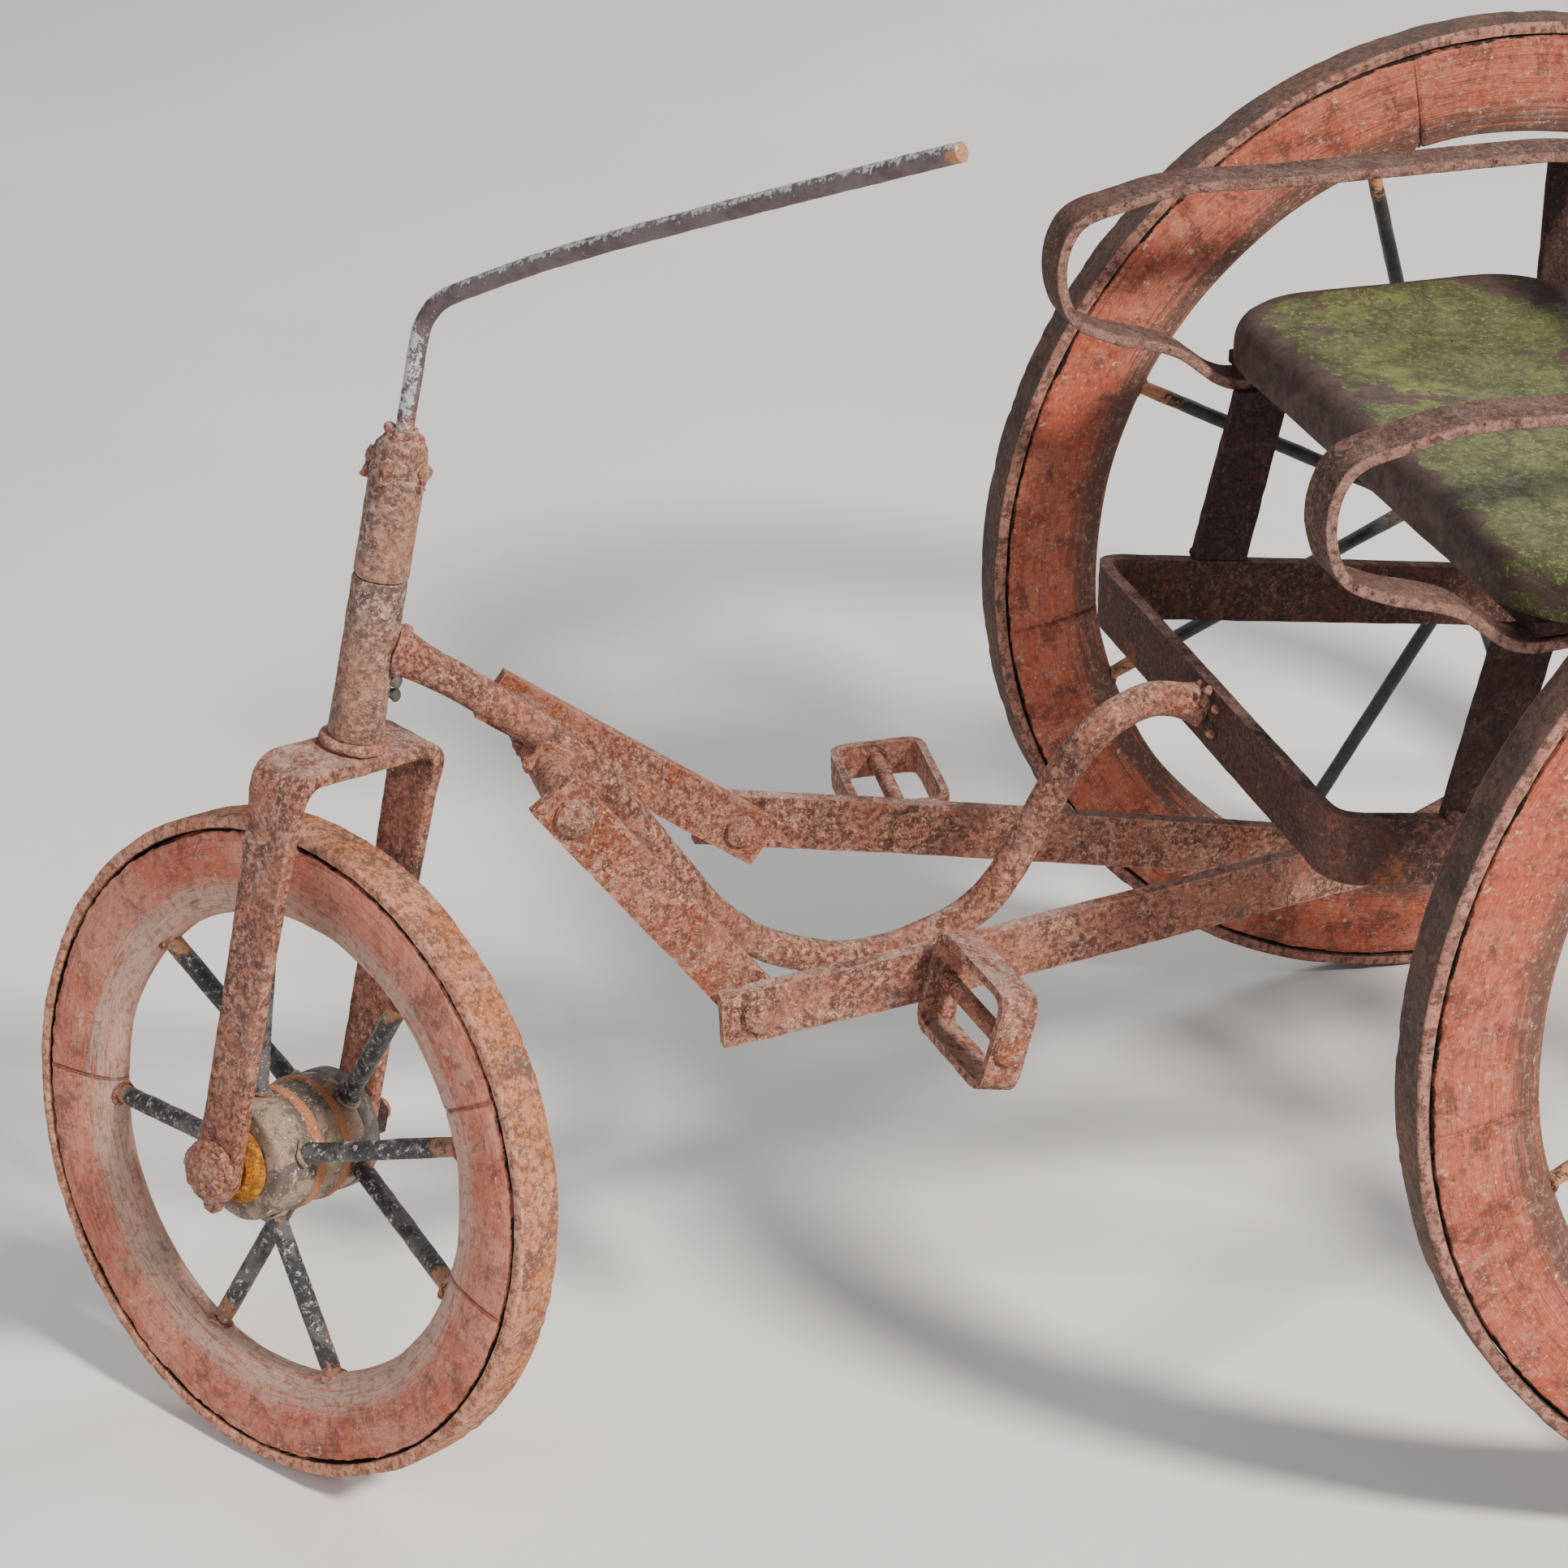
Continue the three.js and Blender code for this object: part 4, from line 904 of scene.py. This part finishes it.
def steering():
    fork()
    axis = basis(AHEAD, ACROSS, UP, FOOT)
    ring = [(6, 149.4), (9.4, 149.3), (10.8, 149.8), (11.5, 151), (11.2, 152.3), (10.2, 153), (6, 153)]
    verts, faces = lathe(scale(ring), 48)
    piece("collar_ring", verts, faces, WARM_IRON, "steering", ["fork_collar"], None, axis,
          (0.4 * MM, 200, 2), 60)
    sleeve = [(5.5, 209.2), (8.5, 209), (8.95, 209.6), (8.9, 212), (8.9, 232), (8.9, 243), (9.1, 247),
              (8.9, 249.5), (8, 252.5), (6.4, 255), (4.6, 256.8), (3.2, 258.4), (3.2, 249), (0.4, 249),
              (0.4, 245), (5.5, 245)]
    verts, faces = lathe(scale(subdivided(sleeve, 2.2, int)), 48)
    for v in verts:
        top = min(1.0, max(0.0, (v.z / MM - 240) / 8))
        if v.xy.length > 3.4 * MM:
            lump = noise.noise(v * 190) + 0.5 * noise.noise(v * 420)
            v.xy += v.xy.normalized() * lump * 1.3 * MM * top
    piece("sleeve_dome", verts, faces, HEAD, "steering", ["steering_sleeve"], None, axis,
          (0.35 * MM, 170, 6), 60)
    drips = (((8.2, 3, 249), (9.2, 3.4, 245), (9.3, 3.6, 240)),
             ((-3, 8.6, 250), (-3.4, 9.3, 246), (-3.2, 9.3, 243)),
             ((-9, -2, 248), (-9.3, -2, 244), (-9.2, -1.6, 241)))
    for i, line in enumerate(drips):
        bead(f"sleeve_drip_{i + 1}", [steer(*p) for p in line], 2.4, "steering", i, None, 1.4)
    bead("sleeve_top_weld", [steer(4.6 * cos(a), 4.6 * sin(a), 256 + sin(a * 3))
                             for a in (radians(30 * k) for k in range(13))], 2.0, "steering", 3)
    line = [(0, 0, 250), (0, 0, 270), (0, 0, 286), (-1, 0, 294), (-6, 0, 302), (-16, 0, 309.5),
            (-52, 0, 332.5), (-108, 0, 364.5), (-182, 0, 405.3)]
    path = smooth_path([steer(*p) for p in line], 2.5 * MM)
    rings = rod(path, TILLER_RADIUS * MM, TILLER_SIDES)
    verts, faces = skin(rings)
    count = len(rings)
    wear, pale = [], []
    for i in range(count):
        t = i / (count - 1)
        wear += [max(exp(-(t * 11) ** 2), exp(-((1 - t) * 22) ** 2))] * TILLER_SIDES
        upright = min(1.0, max(0.0, (0.19 - t) / 0.03)) * min(1.0, t / 0.07)
        pale += [upright * (1.0 if side in range(7, 17) else 0.35) for side in range(TILLER_SIDES)]
    piece("tiller_rod", verts, faces, TILLER, "steering", ["tiller"], wear=wear, rough=(0.22 * MM, 200, 8),
          pale=pale)
    worn("steering_stem", SEAT_SHADE_RUST, 0.3)
    front_axle()


def front_axle():
    axis = basis(UP, AHEAD, ACROSS, HUB)
    bolt = [(0.4, -46), (3.4, -46), (4, -45.2), (4, 34.4), (10.2, 34.4), (11, 35.1), (11.2, 36.2),
            (10.6, 37.3), (9.7, 37.7), (9, 37.5), (8.3, 38.3), (7.2, 39.2), (5.9, 39.8), (5.1, 39.7),
            (4.3, 40.2), (3, 40.5), (1.6, 40.7), (0.4, 40.8)]
    verts, faces = lathe(scale(bolt), 64)
    for v in verts:
        if v.z > 35 * MM:
            v.z += (noise.noise(v * 420) * 0.9 + noise.noise(v * 900) * 0.5) * MM * 0.9
    piece("axle_bolt", verts, faces, WARM_IRON, "steering", ["front_axle_bolt"], None, axis,
          (0.45 * MM, 240, 4), 60)
    worn("front_axle_nut", SEAT_SHADE_RUST, 0.8, 0.3)
    for name, s in (("left", 1), ("right", -1)):
        cup = [(4.4, 28.2), (6, 28.3), (6.8, 27.7), (8, 27.6), (8.8, 28.1), (9.6, 27.8), (10.6, 26.6),
               (11.4, 26.5), (12.3, 26.3), (13.5, 25.3), (13.8, 24.4), (13.6, 23.6), (12.4, 23.5),
               (11.4, 25), (8.6, 26.6), (4.4, 26.8)]
        verts, faces = lathe([(r * MM, s * z * MM) for r, z in cup], 64)
        piece(f"cup_washer_{name}", verts, faces, ORANGE, "steering", [f"front_cup_{name}"], None,
              axis, (0.35 * MM, 260, 5), 60)


# ---------------------------------------------------------------- fixed frame
def at(x, y, z):
    """A point in mm from the ground under the middle of the rear axle."""
    return Vector((x * MM, AXLE.y + y * MM, z * MM))


def clear_of_stem(obj, outward):
    """Flatten the hidden end of a piece inside the wall of the head tube, so it stays off the stem."""
    for vertex in obj.data.vertices:
        depth = (vertex.co - FOOT).dot(outward)
        if depth < STEM_CLEARANCE:
            vertex.co += outward * (STEM_CLEARANCE - depth)


def head():
    straight = basis(Vector((1, 0, 0)), UP.cross(Vector((1, 0, 0))), UP, FOOT)
    tube = [(5.6, 153.6), (8.7, 153.4), (9.1, 154.4), (8.95, 157)] + [(8.9, 160 + 4 * k) for k in range(12)]
    tube += [(8.9, 207.4), (8.5, 208.5), (5.6, 208.6)]
    verts, faces = lathe(scale(tube), 48)
    piece("head_sleeve", verts, faces, HEAD, "frame", ["head_tube"], None, straight,
          (0.4 * MM, 150, 5), 60)
    line = [(-474.6, 293), (-469, 289), (-443, 270), (-417, 247), (-401, 227), (-384, 202), (-368, 179),
            (-348, 163), (-319, 154), (-289, 159), (-269, 171), (-254, 195), (-243, 215), (-229, 231),
            (-212, 238), (-194.2, 234)]
    path = smooth_path([at(0, y, z) for y, z in line], 2.6 * MM)

    def flare(t):
        """Wider where the bar is welded at both ends."""
        return 6 * MM * (1 + 0.32 * exp(-(t * 34) ** 2) + 0.2 * exp(-((1 - t) * 60) ** 2))

    verts, faces = skin(rod(path, flare, 28))
    bar = piece("backbone_bar", verts, faces, IRON, "frame", ["backbone"], rough=(0.4 * MM, 170, 9))
    root = path[1]
    lean = (path[4] - path[0]).normalized()
    weld = bead("head_weld", ring_points(root + lean * 1.5 * MM, lean, 6.8), 2.5, "frame", 2, None, 1.3)
    outward = (lean - UP * lean.dot(UP)).normalized()
    clear_of_stem(bar, outward)
    clear_of_stem(weld, outward)
    lumps = [at(2.5, -474.5, 284), at(3, -473, 281), at(2, -473, 278.5), at(1, -474, 276)]
    bead("head_weld_drip", lumps, 2.3, "frame", 7, HUB_DARK, 1.6)
    tail = (path[-1] - path[-4]).normalized()
    bead("crossbar_weld", ring_points(path[-1] - tail * 1.2 * MM, tail, 6.4), 2.0, "frame", 5)


def pivot():
    x = Vector((1, 0, 0))
    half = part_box("link_pivot_tube")[1][0] / MM
    count = 19
    tube = [(4.3, -half), (6.2, -half), (6.7, 0.8 - half)]
    tube += [(6.65, (half - 3) * (2 * k / (count - 1) - 1)) for k in range(count)]
    tube += [(6.7, half - 0.8), (6.2, half), (4.3, half)]
    verts, faces = lathe(scale(tube), 32)
    origin = Vector((0, PIVOT.y, PIVOT.z))
    piece("pivot_cross_tube", verts, faces, IRON, "frame", ["link_pivot_tube"], None,
          facing(x, origin), (0.5 * MM, 130, 3), 60)
    for side in (1, -1):
        turns = [0.2 + 0.3 * step for step in range(11)]
        points = [origin + Vector((side * (6.2 + 1.4 * sin(k * 3)), cos(k) * 6.6, sin(k) * 6.6)) * MM
                  for k in turns]
        bead(f"pivot_weld_{side + 2}", points, 2.8, "frame", side + 4, WARM_IRON, 1.3)
    worn("link_pivot_pin", IRON, 0.5, 0.06)


def arm_rail():
    """One flat bar: under the seat, round the left loop, across the back, and the same on the right."""
    low = 312 - 5 - 2 - 0.6
    side_line = [(-114, low), (-141, low), (-163, 319), (-188, 327), (-203, 336), (-208, 354), (-202, 370),
                 (-184, 376), (-160, 380), (-120, ARM_HEIGHT), (-36, ARM_HEIGHT)]
    smooth = smooth_path([Vector((0, y, z)) for y, z in side_line], 2.0)
    left = [Vector((118, p.y, p.z)) for p in smooth]
    path = list(left)
    across = [Vector((1, 0, 0))] * len(left)
    for start in (0, 90):
        centre = (92, -24) if start == 0 else (-92, -24)
        for k in range(1 if start == 0 else 0, 15):
            a = radians(start + 90 * k / 14)
            path.append(Vector((centre[0] + 26 * cos(a), centre[1] + 26 * sin(a), ARM_HEIGHT)))
            across.append(Vector((cos(a), sin(a), 0)))
        if start == 0:
            for k in range(1, 40):
                path.append(Vector((92 - 184 * k / 40, 2, ARM_HEIGHT)))
                across.append(Vector((0, 1, 0)))
    right = [Vector((-118, p.y, p.z)) for p in reversed(smooth)]
    path += right[1:]
    across += [Vector((-1, 0, 0))] * (len(right) - 1)
    path = [at(*p) for p in path]
    rings = strap_rings(path, across, ARM_WIDTH * MM, ARM_THICKNESS * MM, 0.14)
    verts, faces = skin(rings)
    marks = strap_marks(len(rings))
    piece("arm_strap", verts, faces, ARM, "frame", ["arm_rail"], marks, rough=(0.22 * MM, 230, 7),
          sharp=40)


def rounded_rect(half, front, back, radius, per=10):
    radius = max(radius, 2)
    out = []
    for x, y, start in ((half - radius, front + radius, -90), (half - radius, back - radius, 0),
                        (-half + radius, back - radius, 90), (-half + radius, front + radius, 180)):
        for k in range(per + 1):
            a = radians(start + 90 * k / per)
            out.append((x + radius * cos(a), y + radius * sin(a)))
    return out


def along_edges(outline, count):
    points = [Vector((x, y, 0)) for x, y in outline]
    points.append(points[0].copy())
    return even(points, sum((b - a).length for a, b in zip(points, points[1:])) / count)[:-1]


def seat():
    """The pressed seat: layers of (inset, height) from the skirt up to the flat top, and the underside."""
    count = 216
    layers = [(1.6, 312.6), (0.4, 312), (0, 313.4), (0, 316), (0, 319), (0.2, 321.8), (0.9, 324.4),
              (2.2, 326.8), (4.3, 328.6), (7.2, 329.6), (11, 330), (18, 330), (26, 329.8), (34, 329.6),
              (43, 329.4), (52, 329.3), (60, 329.3), (66, 329.3)]
    under = [(66, 327.4), (30, 327.6), (14, 328), (7, 326), (3.4, 322), (2, 318), (1.9, 313)]
    bald_patches = []
    for x, y, r in ((-108, -20, 22), (-52, -22, 18)):
        place = at(x, y, 330)
        bald_patches.append((place.x, place.y, r * MM))
    corner = at(125, -138, 320)
    rings, wear = [], []
    for inset, z in layers + under:
        radius = SEAT_CORNER - inset * 0.5
        outline = rounded_rect(SEAT_HALF - inset, SEAT_FRONT + inset, SEAT_BACK - inset, radius)
        outline = along_edges(outline, count)
        outline = [at(p.x, p.y, z) for p in outline]
        rings.append(outline)
        top = (inset, z) in layers
        for p in outline:
            bald = max(exp(-((p.x - x) ** 2 + (p.y - y) ** 2) / r ** 2) for x, y, r in bald_patches)
            mossy = 0.95 * exp(-(((p.x - corner.x) ** 2 + (p.y - corner.y) ** 2) / (60 * MM) ** 2))
            rim_wear = max(0.0, min(1.0, 1.1 - inset / 9)) * (1 - mossy)
            wear.append(max(rim_wear, 0.4 * bald) if top else 1.0)
    verts = [v for ring in rings for v in ring]
    for v in verts:
        p = v * 16
        v.z += (noise.noise(p) * 0.7 + noise.noise(p * 3.1) * 0.2) * MM
    faces = []
    for i in range(len(rings)):
        j = (i + 1) % len(rings)
        if i == len(layers) - 1:
            continue
        for k in range(count):
            m = (k + 1) % count
            faces.append((i * count + k, i * count + m, j * count + m, j * count + k))
    last = (len(layers) - 1) * count
    faces.append(tuple(range(last, last + count)))
    faces.append(tuple(range(last + count, last + 2 * count))[::-1])
    piece("seat_sheet", verts, faces, SEAT, "frame", ["seat_pan"], wear=wear, rough=(0.12 * MM, 300, 3),
          sharp=60)


STRAP_LOW, STRAP_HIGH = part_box("frame_strap")[:2]


def corner_sunlight_and_rust(v):
    """Brighter at the two front corners of the frame strap: orange rust with painted sunlight."""
    near = min(hypot(v.x - x, v.y - STRAP_LOW[1]) for x in (STRAP_LOW[0], STRAP_HIGH[0]))
    return 0.75 * exp(-(near / (13 * MM)) ** 2)


def frame_parts():
    head()
    pivot()
    # The strap's front corners get painted sunlight with rust through the wear attribute.
    for node in ("frame_strap", "frame_rear_bar"):
        worn(node, STRAP_SHADE_RUST, 0.8, 0.3, grid=5, mark=corner_sunlight_and_rust)
    # The posts and uprights under the seat take the rust with the seat's painted shade.
    for node in ("seat_post_left", "seat_post_right", "back_upright_left", "back_upright_right"):
        worn(node, SEAT_SHADE_RUST, 0.7, 0.5, grid=5)
    for node in ("seat_front_strap", "seat_rear_strap", "axle_bush_left", "axle_bush_right"):
        worn(node, SEAT_SHADE_RUST, 0.6)
    # The welds at the post feet take the strap rust with its painted shade.
    for side in (1, -1):
        line = [at(side * 110.8, -153, 239), at(side * 111, -144, 237.8), at(side * 110.8, -135, 236.6)]
        bead(f"post_weld_{side + 2}_0", line, 2.0, "frame", side, STRAP_SHADE_RUST, 1.4)
    for k, (x, y, z) in enumerate(((9.5, -195.2, 243.5), (13.5, -194, 238), (12, -194.6, 228))):
        rivet(f"weld_spatter_{k + 1}", at(x, y, z), (0.3, -1, 0.4), 1.7, 1.4, "frame", None, k)
    seat()
    arm_rail()


def treadles():
    for name in ("left", "right"):
        worn(f"link_{name}", WARM_IRON, 0.7, 0.22, grid=4)
        worn(f"link_rivet_{name}", IRON, 0.5, 0.3)
        worn(f"treadle_bar_{name}", IRON, 0.7, 0.35, grid=6)
        worn(f"treadle_rivet_{name}", IRON, 0.5, 0.3)
        worn(f"pedal_{name}", IRON, 0.6, 0.35, grid=4)
        worn(f"pedal_spindle_{name}", WARM_IRON, 0.5, 0.3)
    worn("crank_axle", SEAT_SHADE_RUST, 0.9, 0.3)
    for name in ("left", "right"):
        worn(f"axle_nut_{name}", SEAT_SHADE_RUST, 0.8, 0.3)


# ---------------------------------------------------------------- stage
def look(obj, target):
    obj.rotation_mode = "QUATERNION"
    obj.rotation_quaternion = (Vector(target) - obj.location).to_track_quat("-Z", "Y")


def light(name, place, target, power, size, color=(1, 1, 1)):
    data = bpy.data.lights.new(name, "AREA")
    data.energy = power
    data.shape = "DISK"
    data.size = size
    data.color = color
    obj = bpy.data.objects.new(name, data)
    obj.location = place
    bpy.context.scene.collection.objects.link(obj)
    look(obj, target)
    return obj


def stage():
    mesh = bpy.data.meshes.new("floor")
    size = 14
    mesh.from_pydata([(-size, -size, 0), (size, -size, 0), (size, size, 0), (-size, size, 0)], [],
                     [(0, 1, 2, 3)])
    n = Nodes("floor_pale")
    tone = n.mix(n.span(n.noise(3, 3, 0.5), 0.3, 0.7), (0.78, 0.77, 0.75), (0.82, 0.81, 0.79))
    mesh.materials.append(n.finish(tone, 0.9, n.bump(n.noise(60, 3, 0.5), 0.0002), 0, 0.2))
    floor = bpy.data.objects.new("floor", mesh)
    bpy.context.scene.collection.objects.link(floor)
    floor.location.z = cad_box[0].z - 0.0005
    world = bpy.data.worlds.new("studio")
    world.use_nodes = True
    world.node_tree.nodes["Background"].inputs[0].default_value = (0.90, 0.95, 1.0, 1)
    world.node_tree.nodes["Background"].inputs[1].default_value = 0.34
    bpy.context.scene.world = world
    middle = (0, -0.05, 0.2)
    light("key", (2.0, 1.1, 2.1), middle, 150, 0.4, (1.0, 0.94, 0.85))
    light("fill", (0.9, -2.3, 1.5), middle, 22, 1.6, (0.96, 0.97, 1.0))
    light("back", (-1.9, 1.2, 1.9), middle, 26, 1.2, (1.0, 0.97, 0.93))


def camera():
    data = bpy.data.cameras.new("photo_view")
    data.lens = LENS
    data.sensor_width = 36.0
    data.shift_x = LENS_SHIFT
    data.clip_start = 0.02
    obj = bpy.data.objects.new("photo_view", data)
    bpy.context.scene.collection.objects.link(obj)
    obj.location = at(*CAMERA_PLACE)
    forward = Vector((-sin(YAW) * cos(PITCH), cos(YAW) * cos(PITCH), -sin(PITCH)))
    obj.rotation_mode = "QUATERNION"
    obj.rotation_quaternion = forward.to_track_quat("-Z", "Y") @ Matrix.Rotation(ROLL, 3, "Z").to_quaternion()
    bpy.context.scene.camera = obj


camera()
stage()
front_wheel()
steering()
for wheel_side, wheel_name, wheel_body in ((1, "left", "crank"), (-1, "right", "right_wheel")):
    rear_wheel(wheel_side, wheel_name, wheel_body)
frame_parts()
treadles()
